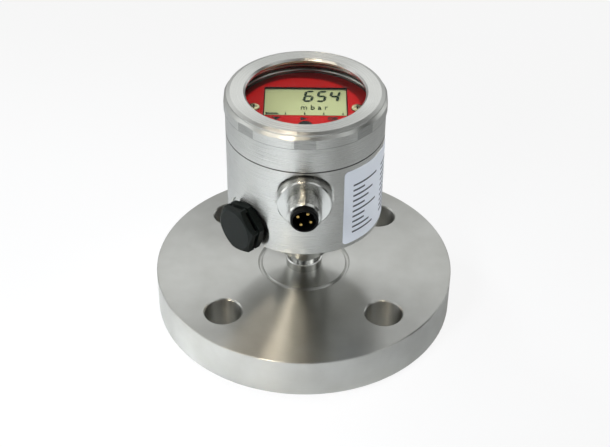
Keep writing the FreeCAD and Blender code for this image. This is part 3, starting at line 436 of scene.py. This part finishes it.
def moulded(name, base, speckle, grain, rough, depth, specular=0.5):
    """Moulded plastic, rubber, lacquer or print: an even colour with a fine grain from the tool."""
    material, tree, shader = start_material(name, {"IOR": 1.5, "Specular IOR Level": specular})
    place = object_place(tree)
    fine = noise(tree, place, grain)
    wide = noise(tree, place, CLOUD_GRAINS * grain)
    tint = mix_colours(tree, mix_numbers(tree, 0.5, fine, wide), base, speckle)
    tree.links.new(tint, shader.inputs["Base Color"])
    roughen(tree, shader, fine, rough, depth, PLASTIC_RELIEF)
    return material


def plated(name, base, worn, rough, shade_level=None):
    """Thin bright metal plating: a tinted mirror with soft patches from handling, painted dark as shade
    below a given level.
    """
    material, tree, shader = start_material(name, {"Metallic": 1.0})
    place = object_place(tree)
    patches = noise(tree, place, PATCH_WIDTH)
    tint = mix_colours(tree, patches, base, worn)
    # Painted shade below the given level
    if shade_level:
        shaded = reckon(tree, "LESS_THAN", parted(tree, place)["Z"], shade_level)
        tint = mix_colours(tree, shaded, tint, linear(SCREW_SHADE_COLOUR))
    tree.links.new(tint, shader.inputs["Base Color"])
    roughen(tree, shader, patches, rough, PATCH_DEPTH, PATCH_RELIEF)
    return material


def clear_sheet(name, tint, gloss, graze):
    """Clear sheet: what lies below shows through, and the gloss grows towards a grazing look."""
    material, tree, shader = start_material(name, {"Metallic": 1.0, "Base Color": linear("#FFFFFF")})
    # A haze of dust dims the gloss in patches
    haze = between(tree, noise(tree, object_place(tree), DUST_WIDTH, detail=5.0), *DUST_HAZE)
    tree.links.new(haze, shader.inputs["Roughness"])
    open_shader = add(tree, "ShaderNodeBsdfTransparent", {}, {"Color": tint})
    # The share that is mirrored grows from straight on to a grazing look
    turned = add(tree, "ShaderNodeLayerWeight", {}, {"Blend": 0.5}).outputs["Facing"]
    share = reckon(tree, "MULTIPLY_ADD", reckon(tree, "POWER", turned, 5.0), graze - gloss, gloss)
    both = add(
        tree,
        "ShaderNodeMixShader",
        {},
        {0: share, 1: open_shader.outputs["BSDF"], 2: shader.outputs["BSDF"]},
    )
    tree.links.new(both.outputs["Shader"], tree.nodes["Material Output"].inputs["Surface"])
    return material


def dress(material, *names):
    """Give CAD nodes a finish."""
    for name in names:
        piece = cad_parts[name]
        if not piece.material_slots:
            raise RuntimeError(f"{name} has no material slot")
        for slot in piece.material_slots:
            slot.material = material


def place_piece(name, mesh, material, replaced=()):
    """Put a finished mesh into the scene on the fixed body."""
    mesh.name = name
    if material:
        mesh.materials.clear()
        mesh.materials.append(material)
    piece = bpy.data.objects.new(name, mesh)
    bpy.context.scene.collection.objects.link(piece)
    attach(piece, "base")
    if replaced:
        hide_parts(*replaced)


def add_sides(work, lower, upper):
    """Close the wall between two loops of corners."""
    for index in range(len(lower)):
        after = (index + 1) % len(lower)
        work.faces.new((lower[index], lower[after], upper[after], upper[index]))


def add_prism(work, outline, low, high):
    """Add a closed prism over an outline that runs counterclockwise."""
    lower = [work.verts.new((x, y, low)) for x, y in outline]
    upper = [work.verts.new((x, y, high)) for x, y in outline]
    work.faces.new(lower[::-1])
    work.faces.new(upper)
    add_sides(work, lower, upper)


def mesh_from(work):
    bmesh.ops.recalc_face_normals(work, faces=work.faces)
    mesh = bpy.data.meshes.new("piece")
    work.to_mesh(mesh)
    work.free()
    return mesh


def panel_outline(inset):
    """Outline of the screen panel, drawn in by an inset."""
    left, near = PANEL_LOW.x + inset, PANEL_LOW.y + inset
    right, far = PANEL_HIGH.x - inset, PANEL_HIGH.y - inset
    return [(left, near), (right, near), (right, far), (left, far)]


def lettering(words, box, low, high, weight, spacing):
    """Make flat letters that fill a box in the plane of the display."""
    curve = bpy.data.curves.new("letters", "FONT")
    curve.body = words
    curve.offset = weight
    curve.space_character = spacing
    # One unit thick until the letters are scaled
    curve.extrude = 0.5
    holder = bpy.data.objects.new("letters", curve)
    bpy.context.scene.collection.objects.link(holder)
    evaluated = holder.evaluated_get(bpy.context.evaluated_depsgraph_get())
    mesh = bpy.data.meshes.new_from_object(evaluated)
    bpy.data.objects.remove(holder)
    bpy.data.curves.remove(curve)
    xs = [vertex.co.x for vertex in mesh.vertices]
    ys = [vertex.co.y for vertex in mesh.vertices]
    left, bottom, right, top = (edge * MM for edge in box)
    width = (right - left) / (max(xs) - min(xs))
    height = (top - bottom) / (max(ys) - min(ys))
    origin = Vector((left, bottom, (low + high) / 2))
    corner = Vector((min(xs), min(ys), 0))
    scale = Matrix.Diagonal((width, height, high - low, 1))
    mesh.transform(Matrix.Translation(origin) @ scale @ Matrix.Translation(-corner))
    work = bmesh.new()
    work.from_mesh(mesh)
    bpy.data.meshes.remove(mesh)
    bmesh.ops.remove_doubles(work, verts=work.verts, dist=WELD_DISTANCE)
    return mesh_from(work)


FLOAT, WHOLE = "NodeSocketFloat", "NodeSocketInt"


def start_tree(name, inputs):
    """Start a geometry tree with named inputs."""
    tree = bpy.data.node_groups.new(name, "GeometryNodeTree")
    for label, kind in inputs.items():
        tree.interface.new_socket(label, in_out="INPUT", socket_type=kind)
    tree.interface.new_socket("Geometry", in_out="OUTPUT", socket_type="NodeSocketGeometry")
    return tree, tree.nodes.new("NodeGroupInput").outputs


def end_tree(tree, geometry, material):
    """Give the grown geometry its material and end the tree."""
    inked = add(
        tree, "GeometryNodeSetMaterial", {}, {"Geometry": realized(tree, geometry), "Material": material}
    )
    end = tree.nodes.new("NodeGroupOutput")
    tree.links.new(inked.outputs["Geometry"], end.inputs[0])
    return tree


def grown(tree, name, values):
    """Grow a plain mesh from a geometry tree and the values of its named inputs."""
    holder = bpy.data.objects.new(name, bpy.data.meshes.new(name))
    bpy.context.scene.collection.objects.link(holder)
    modifier = holder.modifiers.new(name, "NODES")
    modifier.node_group = tree
    for item in tree.interface.items_tree:
        if item.in_out == "INPUT":
            modifier[item.identifier] = values[item.name]
    evaluated = holder.evaluated_get(bpy.context.evaluated_depsgraph_get())
    mesh = bpy.data.meshes.new_from_object(evaluated)
    holder.modifiers.remove(modifier)
    bpy.data.objects.remove(holder)
    return mesh


def realized(tree, geometry):
    return add(tree, "GeometryNodeRealizeInstances", {}, {"Geometry": geometry}).outputs["Geometry"]


def point_row(tree, number, step, start=(0.0, 0.0, 0.0)):
    """A row of evenly spaced points."""
    inputs = {"Count": number, "Start Location": start, "Offset": step}
    return add(tree, "GeometryNodeMeshLine", {"mode": "OFFSET"}, inputs).outputs["Mesh"]


def repeated(tree, points, shape, **turned):
    """Repeat a shape at every point."""
    inputs = {"Points": points, "Instance": shape, **turned}
    return add(tree, "GeometryNodeInstanceOnPoints", {}, inputs).outputs["Instances"]


def thread_tree(material):
    """A ridge that winds forward round the barrel of the connector."""
    names = ("Turns", "Radius", "Length", "Ridge", "Start", "Level")
    tree, given = start_tree("connector_thread", dict.fromkeys(names, FLOAT))
    winding = add(
        tree,
        "GeometryNodeCurveSpiral",
        {},
        {
            "Resolution": 48,
            "Rotations": given["Turns"],
            "Start Radius": given["Radius"],
            "End Radius": given["Radius"],
            "Height": given["Length"],
        },
    ).outputs["Curve"]
    section = add(
        tree, "GeometryNodeCurvePrimitiveCircle", {}, {"Resolution": 6, "Radius": given["Ridge"]}
    ).outputs["Curve"]
    ridge = add(
        tree,
        "GeometryNodeCurveToMesh",
        {},
        {"Curve": winding, "Profile Curve": section, "Fill Caps": True},
    ).outputs["Mesh"]
    level = add(
        tree,
        "GeometryNodeTransform",
        {},
        {
            "Geometry": ridge,
            "Translation": vector(tree, Y=given["Start"], Z=given["Level"]),
            "Rotation": (math.radians(90), 0.0, 0.0),
        },
    )
    return end_tree(tree, level.outputs["Geometry"], material)


def scale_tree(material):
    """Ticks and slanted bars of the screen's scale, each a row of thin blocks."""
    names = ("Left", "Level", "Height", "Tick Pitch", "Bar Pitch")
    kinds = {**dict.fromkeys(names, FLOAT), "Tick Count": WHOLE, "Bar Count": WHOLE}
    tree, given = start_tree("screen_scale", kinds)
    start = vector(tree, X=given["Left"], Y=given["Level"], Z=given["Height"])
    both = add(tree, "GeometryNodeJoinGeometry")
    for kind, size, lean in (("Tick", TICK_SIZE, 0.0), ("Bar", BAR_SIZE, BAR_LEAN)):
        step = vector(tree, X=given[f"{kind} Pitch"])
        points = point_row(tree, given[f"{kind} Count"], step, start)
        block = add(tree, "GeometryNodeMeshCube", {}, {"Size": size}).outputs["Mesh"]
        row = repeated(tree, points, block, Rotation=(0.0, 0.0, lean))
        tree.links.new(row, both.inputs["Geometry"])
    return end_tree(tree, both.outputs["Geometry"], material)


def rows_tree(material):
    """Plain rows in columns, bent round the housing."""
    sizes = ("Column Pitch", "Row Pitch", "Row Length", "Row Height", "Thickness")
    edges = ("Start", "Bottom", "Radius")
    kinds = {**dict.fromkeys(sizes + edges, FLOAT), "Columns": WHOLE, "Rows": WHOLE}
    tree, given = start_tree("label_rows", kinds)
    begin = vector(tree, X=given["Start"], Y=given["Bottom"])
    columns = point_row(tree, given["Columns"], vector(tree, X=given["Column Pitch"]), begin)
    rows = point_row(tree, given["Rows"], vector(tree, Y=given["Row Pitch"]))
    places = realized(tree, repeated(tree, columns, rows))
    size = vector(tree, X=given["Row Length"], Y=given["Row Height"], Z=given["Thickness"])
    block = add(
        tree,
        "GeometryNodeMeshCube",
        {},
        {"Size": size, "Vertices X": ROW_VERTICES, "Vertices Y": 2, "Vertices Z": 2},
    ).outputs["Mesh"]
    # Each block starts at its row's left end
    half = vector(tree, X=reckon(tree, "MULTIPLY", given["Row Length"], 0.5))
    block = add(
        tree, "GeometryNodeTransform", {}, {"Geometry": block, "Translation": half}
    ).outputs["Geometry"]
    # The rows end unevenly, as printed lines do
    share = add(
        tree,
        "FunctionNodeRandomValue",
        {"data_type": "FLOAT"},
        {"Min": SHORTEST_ROW, "Max": 1.0, "Seed": 7},
    ).outputs[1]
    blocks = realized(tree, repeated(tree, places, block, Scale=vector(tree, X=share, Y=1.0, Z=1.0)))
    flat = parted(tree, add(tree, "GeometryNodeInputPosition").outputs[0])
    reach = reckon(tree, "ADD", given["Radius"], flat["Z"])
    turn = reckon(tree, "DIVIDE", flat["X"], given["Radius"])
    side = reckon(tree, "MULTIPLY", reach, reckon(tree, "SINE", turn))
    front = reckon(tree, "MULTIPLY", reach, reckon(tree, "COSINE", turn))
    bent = vector(tree, X=side, Y=reckon(tree, "MULTIPLY", front, -1.0), Z=flat["Y"])
    wrapped = add(tree, "GeometryNodeSetPosition", {}, {"Geometry": blocks, "Position": bent})
    return end_tree(tree, wrapped.outputs["Geometry"], material)


class TRANSMITTER_OT_steel(bpy.types.Operator):
    """Finish the turned and polished steel pieces, and wind the thread of the connector"""

    bl_idname = "transmitter.steel"
    bl_label = "Steel pieces"

    def execute(self, context):
        steel = context.scene.transmitter_steel
        pale, dull, bright = tuple(steel.pale), tuple(steel.dull), tuple(steel.bright)
        # Flange: coarse face turning, dull sheen with long rays towards the rim
        face = turned_stainless(
            "turned_flange_steel", pale, tuple(steel.worn), steel.lay,
            rough=(0.28, 0.33), anisotropy=1.0, relief=0.35,
        )
        dress(face, "process_flange")
        # Housing and window ring: fine turning, satin walls
        # Painted shade lines in the seam and in the corner below the band
        seam = (SEAM_LEVEL, SEAM_HALF)
        foot = RING_TOP - steel.band_drop
        wall = {"pale": pale, "dull": dull, "lay": steel.fine_lay, "rough": (0.24, 0.3), "anisotropy": 0.95}
        dress(turned_stainless("turned_housing_steel", **wall, shade_lines=[seam]), "housing")
        # The flats of the band get painted shade
        ring = turned_stainless(
            "turned_ring_steel", **wall,
            shade_lines=[seam, (foot, BAND_HALF)], shaded_flats=(foot, steel.flats_width, steel.band_width),
        )
        dress(ring, "cover_ring")
        # Neck and what it holds: polished, sharp streaks
        polished = turned_stainless(
            "polished_neck_steel", bright, pale, steel.fine_lay, rough=(0.1, 0.16), anisotropy=0.3
        )
        dress(
            polished, "sensor_stem", "stem_nut", "sensor_cell", "window_snap_ring", "process_diaphragm"
        )
        # Connector shell: polished about its own level axis
        turn = {"Location": (0.0, CONNECTOR_LEVEL, 0.0), "Rotation": (math.radians(90), 0.0, 0.0)}
        shell = turned_stainless(
            "polished_shell_steel", pale, dull, steel.fine_lay,
            rough=(0.2, 0.26), anisotropy=0.95, turn=turn,
        )
        dress(shell, "connector_shell")
        values = {
            "Turns": steel.thread_length / steel.thread_pitch,
            "Radius": steel.barrel_width / 2,
            "Length": steel.thread_length,
            "Ridge": steel.thread_ridge,
            "Start": BARREL_END + steel.thread_relief + steel.thread_length,
            "Level": CONNECTOR_LEVEL,
        }
        thread = grown(thread_tree(shell), "connector_thread", values)
        place_piece("connector_thread", thread, None)
        return {"FINISHED"}


class TRANSMITTER_OT_fittings(bpy.types.Operator):
    """Finish the plastic, rubber, plated and inner pieces"""

    bl_idname = "transmitter.fittings"
    bl_label = "Fittings and inner pieces"

    def execute(self, context):
        display = context.scene.transmitter_display
        label = context.scene.transmitter_label
        # Glass fibre filled polyamide: dark grey green, matt with a fine tool grain
        polyamide = moulded(
            "black_polyamide", linear("#0E1210"), linear("#181D1A"),
            grain=0.25 * MM, rough=(0.42, 0.55), depth=0.02 * MM, specular=0.15,
        )
        dress(polyamide, "vent_cap", "vent_body")
        # Contact carrier and screen frame: deep black, a little smoother
        carrier = moulded(
            "black_contact_plastic", linear("#060606"), linear("#0C0D0C"),
            grain=0.3 * MM, rough=(0.35, 0.45), depth=0.01 * MM, specular=0.1,
        )
        dress(carrier, "connector_insert", "screen_frame", "display_carrier", "board_header", "key_switches")
        # Keys: soft black caps
        keys = moulded(
            "black_key_plastic", linear("#141415"), linear("#1E1F20"),
            grain=0.3 * MM, rough=(0.42, 0.55), depth=0.01 * MM, specular=0.15,
        )
        dress(keys, "key_down", "key_right", "key_ok")
        # Display plate: red lacquer with a faint orange peel
        plate = moulded(
            "red_plate_lacquer", tuple(display.plate), linear("#A51114"),
            grain=0.5 * MM, rough=(0.4, 0.5), depth=0.01 * MM, specular=0.12,
        )
        dress(plate, "display_plate")
        # Seals: black rubber, dull
        rubber = moulded(
            "black_rubber", linear("#101010"), linear("#1C1C1B"),
            grain=0.2 * MM, rough=(0.6, 0.8), depth=0.02 * MM,
        )
        dress(rubber, "stem_seal", "cover_seal", "window_gasket", "connector_seal", "vent_seal")
        # Label: matt printed film
        film = moulded(
            "label_film", tuple(label.film), linear("#DDE2E8"),
            grain=0.4 * MM, rough=(0.34, 0.42), depth=0.004 * MM,
        )
        dress(film, "rating_label")
        # Circuit boards: green lacquer with the weave of the laminate below it
        board = moulded(
            "green_board_laminate", linear("#1F5A34"), linear("#2A6B40"),
            grain=0.5 * MM, rough=(0.35, 0.5), depth=0.01 * MM,
        )
        dress(board, "main_board", "display_board")
        # Chips: dull dark grey resin
        chips = moulded(
            "chip_resin", linear("#202224"), linear("#2B2D2F"),
            grain=0.2 * MM, rough=(0.5, 0.65), depth=0.01 * MM,
        )
        dress(chips, "board_chips")
        # Vent sheet: chalky white
        sheet = moulded(
            "white_vent_sheet", linear("#E6E6E0"), linear("#D8D8D2"),
            grain=0.1 * MM, rough=(0.7, 0.85), depth=0.01 * MM,
        )
        dress(sheet, "vent_membrane")
        # Contacts: thin gold over nickel
        gold = plated("gold_plating", linear("#B99F62"), linear("#94793F"), rough=(0.18, 0.3))
        dress(gold, "connector_pins", "sensor_pins")
        # Screws: nickel plated brass, warm and bright
        nickel = {"base": linear("#E2D6B4"), "worn": linear("#C6B58A"), "rough": (0.16, 0.28)}
        # The drive and the foot of each head are painted dark as shade
        heads = plated("nickel_plated_screws", **nickel, shade_level=SCREW_TOP - DRIVE_DEPTH)
        dress(heads, "plate_screws")
        brass = plated("nickel_plated_brass", **nickel)
        dress(brass, "plate_spacers", "board_screws", "board_standoffs")
        # Leads: tinned copper, pinkish grey
        copper = plated("tinned_copper", linear("#C9B3A2"), linear("#B79780"), rough=(0.25, 0.4))
        dress(copper, "connector_leads")
        # Pane: clear float glass with a coating that takes most of its glare away
        pane = clear_sheet("coated_float_glass", linear("#FBFDFB"), gloss=0.001, graze=0.2)
        dress(pane, "window_pane")
        return {"FINISHED"}


def segment_ends(width, height):
    """End points of the seven segments of a digit."""
    middle = height / 2
    return {
        "a": ((0, height), (width, height)),
        "b": ((width, middle), (width, height)),
        "c": ((width, 0), (width, middle)),
        "d": ((0, 0), (width, 0)),
        "e": ((0, 0), (0, middle)),
        "f": ((0, middle), (0, height)),
        "g": ((0, middle), (width, middle)),
    }


def segment_outline(start, end, stroke, gap):
    """Outline of one segment with pointed ends, counterclockwise."""
    first, last = Vector(start), Vector(end)
    along = (last - first).normalized()
    side = Vector((-along.y, along.x)) * stroke / 2
    first, last = first + along * gap, last - along * gap
    shoulder = along * stroke / 2
    return [
        first,
        first + shoulder - side,
        last - shoulder - side,
        last,
        last - shoulder + side,
        first + shoulder + side,
    ]


class TRANSMITTER_OT_screen(bpy.types.Operator):
    """Build the screen as layers: a tray with its film, a clear front and the driven marks between them"""

    bl_idname = "transmitter.screen"
    bl_label = "Screen"

    def execute(self, context):
        display = context.scene.transmitter_display
        top = PANEL_HIGH.z
        self.make_tray(display, top)
        self.make_front(top)
        # Driven liquid crystal: soft blue black
        mark = moulded(
            "driven_segments", tuple(display.segment), linear("#2A3735"),
            grain=0.2 * MM, rough=(0.4, 0.5), depth=0.002 * MM, specular=0.1,
        )
        low, high = top - FRONT_THICKNESS - MARK_FOOT, top - FRONT_THICKNESS - MARK_TOP
        place_piece("screen_digits", self.digits(display, low, high), mark)
        unit = lettering(display.unit, UNIT_BOX, low, high, weight=0.004, spacing=1.55)
        place_piece("screen_unit", unit, mark)
        values = {
            "Left": display.scale_left,
            "Level": display.scale_level,
            "Height": (low + high) / 2,
            "Tick Count": display.tick_count,
            "Tick Pitch": display.tick_pitch,
            "Bar Count": display.bar_count,
            "Bar Pitch": display.bar_pitch,
        }
        place_piece("screen_scale", grown(scale_tree(mark), "screen_scale", values), None)
        return {"FINISHED"}

    def make_tray(self, display, top):
        # Reflecting film: pale green grey with a fine sparkle
        film = moulded(
            "screen_reflecting_film", tuple(display.screen), linear("#BABCA2"),
            grain=0.18 * MM, rough=(0.45, 0.6), depth=0.004 * MM,
        )
        work = bmesh.new()
        loops = [
            [work.verts.new((x, y, z)) for x, y in panel_outline(inset)]
            for inset, z in (
                (0, PANEL_LOW.z),
                (0, top),
                (TRAY_WALL, top),
                (TRAY_WALL, top - display.film_depth),
            )
        ]
        work.faces.new(loops[0][::-1])
        work.faces.new(loops[-1])
        for lower, upper in zip(loops, loops[1:]):
            add_sides(work, lower, upper)
        place_piece("screen_tray", mesh_from(work), film, ["screen_panel"])

    def make_front(self, top):
        # Front sheet: clear with a faint green tint
        sheet = clear_sheet("screen_front_sheet", linear("#FBFCF6"), gloss=0.001, graze=0.1)
        work = bmesh.new()
        add_prism(work, panel_outline(TRAY_WALL + SHEET_PLAY), top - FRONT_THICKNESS, top)
        place_piece("screen_front", mesh_from(work), sheet)

    def digits(self, display, low, high):
        """Leaning digits, each of the segments that it drives."""
        lean = math.tan(display.digit_slant)
        ends = segment_ends(display.digit_width, display.digit_height)
        work = bmesh.new()
        for index, digit in enumerate(display.number):
            origin = display.digit_left + index * display.digit_pitch
            for letter in SEGMENTS_OF[digit]:
                outline = segment_outline(*ends[letter], display.digit_stroke, display.digit_gap)
                leaning = [(origin + x + y * lean, display.digit_bottom + y) for x, y in outline]
                add_prism(work, leaning, low, high)
        return mesh_from(work)


class TRANSMITTER_OT_symbols(bpy.types.Operator):
    """Print the key symbols on the display plate"""

    bl_idname = "transmitter.symbols"
    bl_label = "Key symbols"

    def execute(self, context):
        display = context.scene.transmitter_display
        # Screen ink: a dull black film that stands a hair proud
        ink = moulded(
            "black_plate_ink", tuple(display.ink), linear("#26282A"),
            grain=0.15 * MM, rough=(0.45, 0.6), depth=0.004 * MM, specular=0.1,
        )
        low, high = PLATE_TOP, PLATE_TOP + PRINT_THICKNESS
        work = bmesh.new()
        for arrow in (DOWN_ARROW, RIGHT_ARROW):
            add_prism(work, [(x * MM, y * MM) for x, y in arrow], low, high)
        place_piece("key_arrows", mesh_from(work), ink)
        words = lettering("OK", OK_BOX, low, high, weight=0.075, spacing=1.08)
        place_piece("key_words", words, ink)
        return {"FINISHED"}


class TRANSMITTER_OT_label(bpy.types.Operator):
    """Print plain rows on the label"""

    bl_idname = "transmitter.label"
    bl_label = "Label rows"

    def execute(self, context):
        label = context.scene.transmitter_label
        # Printed rows: dark grey ink, a little glossy
        ink = moulded(
            "label_ink", tuple(label.ink), linear("#4A4E54"),
            grain=0.2 * MM, rough=(0.4, 0.5), depth=0.002 * MM,
        )
        outside = max(LABEL_HIGH.x, HOUSING_RADIUS)
        edge = math.atan2(LABEL_LOW.x, math.sqrt(outside**2 - LABEL_LOW.x**2)) * outside
        values = {
            "Columns": label.column_count,
            "Rows": label.row_count,
            "Column Pitch": label.column_pitch,
            "Row Pitch": label.row_pitch,
            "Row Length": label.row_length,
            "Row Height": label.row_height,
            "Start": edge + label.side_margin,
            "Bottom": LABEL_LOW.z + label.foot_margin,
            "Radius": outside + PRINT_THICKNESS / 2,
            "Thickness": PRINT_THICKNESS,
        }
        place_piece("label_rows", grown(rows_tree(ink), "label_rows", values), None)
        return {"FINISHED"}


def add_lamp(name, place, target, size, spread, watts, tint):
    """Hang a flat lamp with a grid that keeps its light near the target."""
    data = bpy.data.lights.new(name, "AREA")
    data.shape = "RECTANGLE"
    data.size, data.size_y = size
    data.spread = math.radians(spread)
    data.energy = watts
    data.color = linear(tint)[:3]
    lamp = bpy.data.objects.new(name, data)
    turn = (Vector(target) - Vector(place)).to_track_quat("-Z", "Y").to_matrix().to_4x4()
    lamp.matrix_world = Matrix.Translation(place) @ turn
    bpy.context.scene.collection.objects.link(lamp)
    return lamp


def glow(tree, way, level, panels):
    """Add to a level the glow of the soft round panels that a way meets."""
    for toward, strength, spread in panels.values():
        sharp = 1 / math.radians(spread) ** 2
        beside = add(
            tree,
            "ShaderNodeVectorMath",
            {"operation": "DOT_PRODUCT"},
            {0: way, 1: Vector(toward).normalized()},
        ).outputs["Value"]
        fall = reckon(tree, "MULTIPLY_ADD", beside, sharp, math.log(strength) - sharp)
        level = reckon(tree, "ADD", level, reckon(tree, "EXPONENT", fall))
    return level


class TRANSMITTER_OT_stage(bpy.types.Operator):
    """Set the floor, the lamps, the sky and the camera"""

    bl_idname = "transmitter.stage"
    bl_label = "Stage"

    def execute(self, context):
        scene = context.scene
        stage = scene.transmitter_stage
        scene.view_settings.view_transform = "Standard"
        self.lay_floor(stage)
        self.light(scene, stage)
        self.aim(scene, stage)
        return {"FINISHED"}

    def lay_floor(self, stage):
        # Pale paper: shows white to the eye and keeps the shadow
        material, tree, shader = start_material(
            "pale_paper", {"Roughness": 0.9, "Base Color": tuple(stage.floor)}
        )
        rays = add(tree, "ShaderNodeLightPath").outputs
        seen = reckon(tree, "MAXIMUM", rays["Is Camera Ray"], rays["Is Transmission Ray"])
        seen = reckon(tree, "MULTIPLY", seen, SEEN_SHARE)
        # Steel mirrors the paper with more of its shading left in it
        seen = reckon(tree, "MULTIPLY_ADD", rays["Is Glossy Ray"], MIRRORED_SHARE, seen)
        white = add(tree, "ShaderNodeEmission", {}, {"Color": linear("#FFFFFF"), "Strength": 1.0})
        both = add(
            tree,
            "ShaderNodeMixShader",
            {},
            {0: seen, 1: shader.outputs["BSDF"], 2: white.outputs["Emission"]},
        )
        tree.links.new(both.outputs["Shader"], tree.nodes["Material Output"].inputs["Surface"])
        work = bmesh.new()
        bmesh.ops.create_circle(work, cap_ends=True, radius=FLOOR_RADIUS, segments=96)
        bmesh.ops.translate(work, verts=work.verts, vec=(0, 0, -FLOOR_DROP))
        mesh = mesh_from(work)
        mesh.materials.append(material)
        floor = bpy.data.objects.new("floor", mesh)
        bpy.context.scene.collection.objects.link(floor)

    def light(self, scene, stage):
        world = bpy.data.worlds.new("studio")
        world.use_nodes = True
        scene.world = world
        tree = world.node_tree
        way = add(tree, "ShaderNodeTexCoord").outputs["Generated"]
        glossy = add(tree, "ShaderNodeLightPath").outputs["Is Glossy Ray"]
        mirrored = glow(tree, way, 0.0, MIRRORED_PANELS)
        soft = glow(tree, way, ROOM_LEVEL, SOFT_PANELS)
        sky = tree.nodes["Background"]
        sky.inputs["Color"].default_value = linear("#FDFEFF")
        tree.links.new(reckon(tree, "MULTIPLY_ADD", mirrored, glossy, soft), sky.inputs["Strength"])
        # The steel mirrors the lit floor, the panels and the strips, not these lamps
        for name, (place, target, width, spread, tint) in LAMPS.items():
            watts = getattr(stage, name)
            lamp = add_lamp(f"{name}_lamp", place, target, (width, width), spread, watts, tint)
            lamp.visible_glossy = False
        for name, (place, width, watts) in STRIP_LAMPS.items():
            size = (width, STRIP_LENGTH)
            strip = add_lamp(name, place, STRIP_TARGET, size, STRIP_SPREAD, watts, STRIP_TINT)
            strip.visible_diffuse = False

    def aim(self, scene, stage):
        data = bpy.data.cameras.new("camera")
        data.sensor_fit = "HORIZONTAL"
        data.sensor_width = SENSOR_WIDTH
        data.lens = stage.focal * SENSOR_WIDTH / PHOTO_WIDTH
        data.clip_start, data.clip_end = 0.01, 50.0
        back = Vector((0.0, -math.cos(stage.elevation), math.sin(stage.elevation)))
        right = Vector((1.0, 0.0, 0.0))
        looking = Matrix((right, back.cross(right), back)).transposed()
        nudge = (
            Matrix.Rotation(-stage.pan, 3, "Y")
            @ Matrix.Rotation(-stage.tilt, 3, "X")
            @ Matrix.Rotation(-stage.roll, 3, "Z")
        )
        camera = bpy.data.objects.new("camera", data)
        place = Vector((0.0, 0.0, FLANGE_TOP)) + back * stage.distance
        camera.matrix_world = Matrix.Translation(place) @ (looking @ nudge).to_4x4()
        scene.collection.objects.link(camera)
        scene.camera = camera


STEPS = (
    TRANSMITTER_OT_steel,
    TRANSMITTER_OT_fittings,
    TRANSMITTER_OT_screen,
    TRANSMITTER_OT_symbols,
    TRANSMITTER_OT_label,
    TRANSMITTER_OT_stage,
)
GROUPS = {
    "transmitter_steel": TransmitterSteel,
    "transmitter_display": TransmitterDisplay,
    "transmitter_label": TransmitterLabel,
    "transmitter_stage": TransmitterStage,
}


class TRANSMITTER_PT_panel(bpy.types.Panel):
    """Lists the steps and their values"""

    bl_label = "Pressure transmitter"
    bl_idname = "TRANSMITTER_PT_panel"
    bl_space_type = "VIEW_3D"
    bl_region_type = "UI"
    bl_category = "Transmitter"

    def draw(self, context):
        for step in STEPS:
            self.layout.operator(step.bl_idname)
        for name, group in GROUPS.items():
            box = self.layout.box()
            for key in group.__annotations__:
                box.prop(getattr(context.scene, name), key)


CLASSES = (*GROUPS.values(), *STEPS, TRANSMITTER_PT_panel)


def register():
    for entry in CLASSES:
        bpy.utils.register_class(entry)
    for name, group in GROUPS.items():
        setattr(bpy.types.Scene, name, bpy.props.PointerProperty(type=group))


def unregister():
    for name in GROUPS:
        delattr(bpy.types.Scene, name)
    for entry in reversed(CLASSES):
        bpy.utils.unregister_class(entry)


def main():
    register()
    for step in STEPS:
        family, name = step.bl_idname.split(".")
        getattr(getattr(bpy.ops, family), name)()


if __name__ == "__main__":
    main()
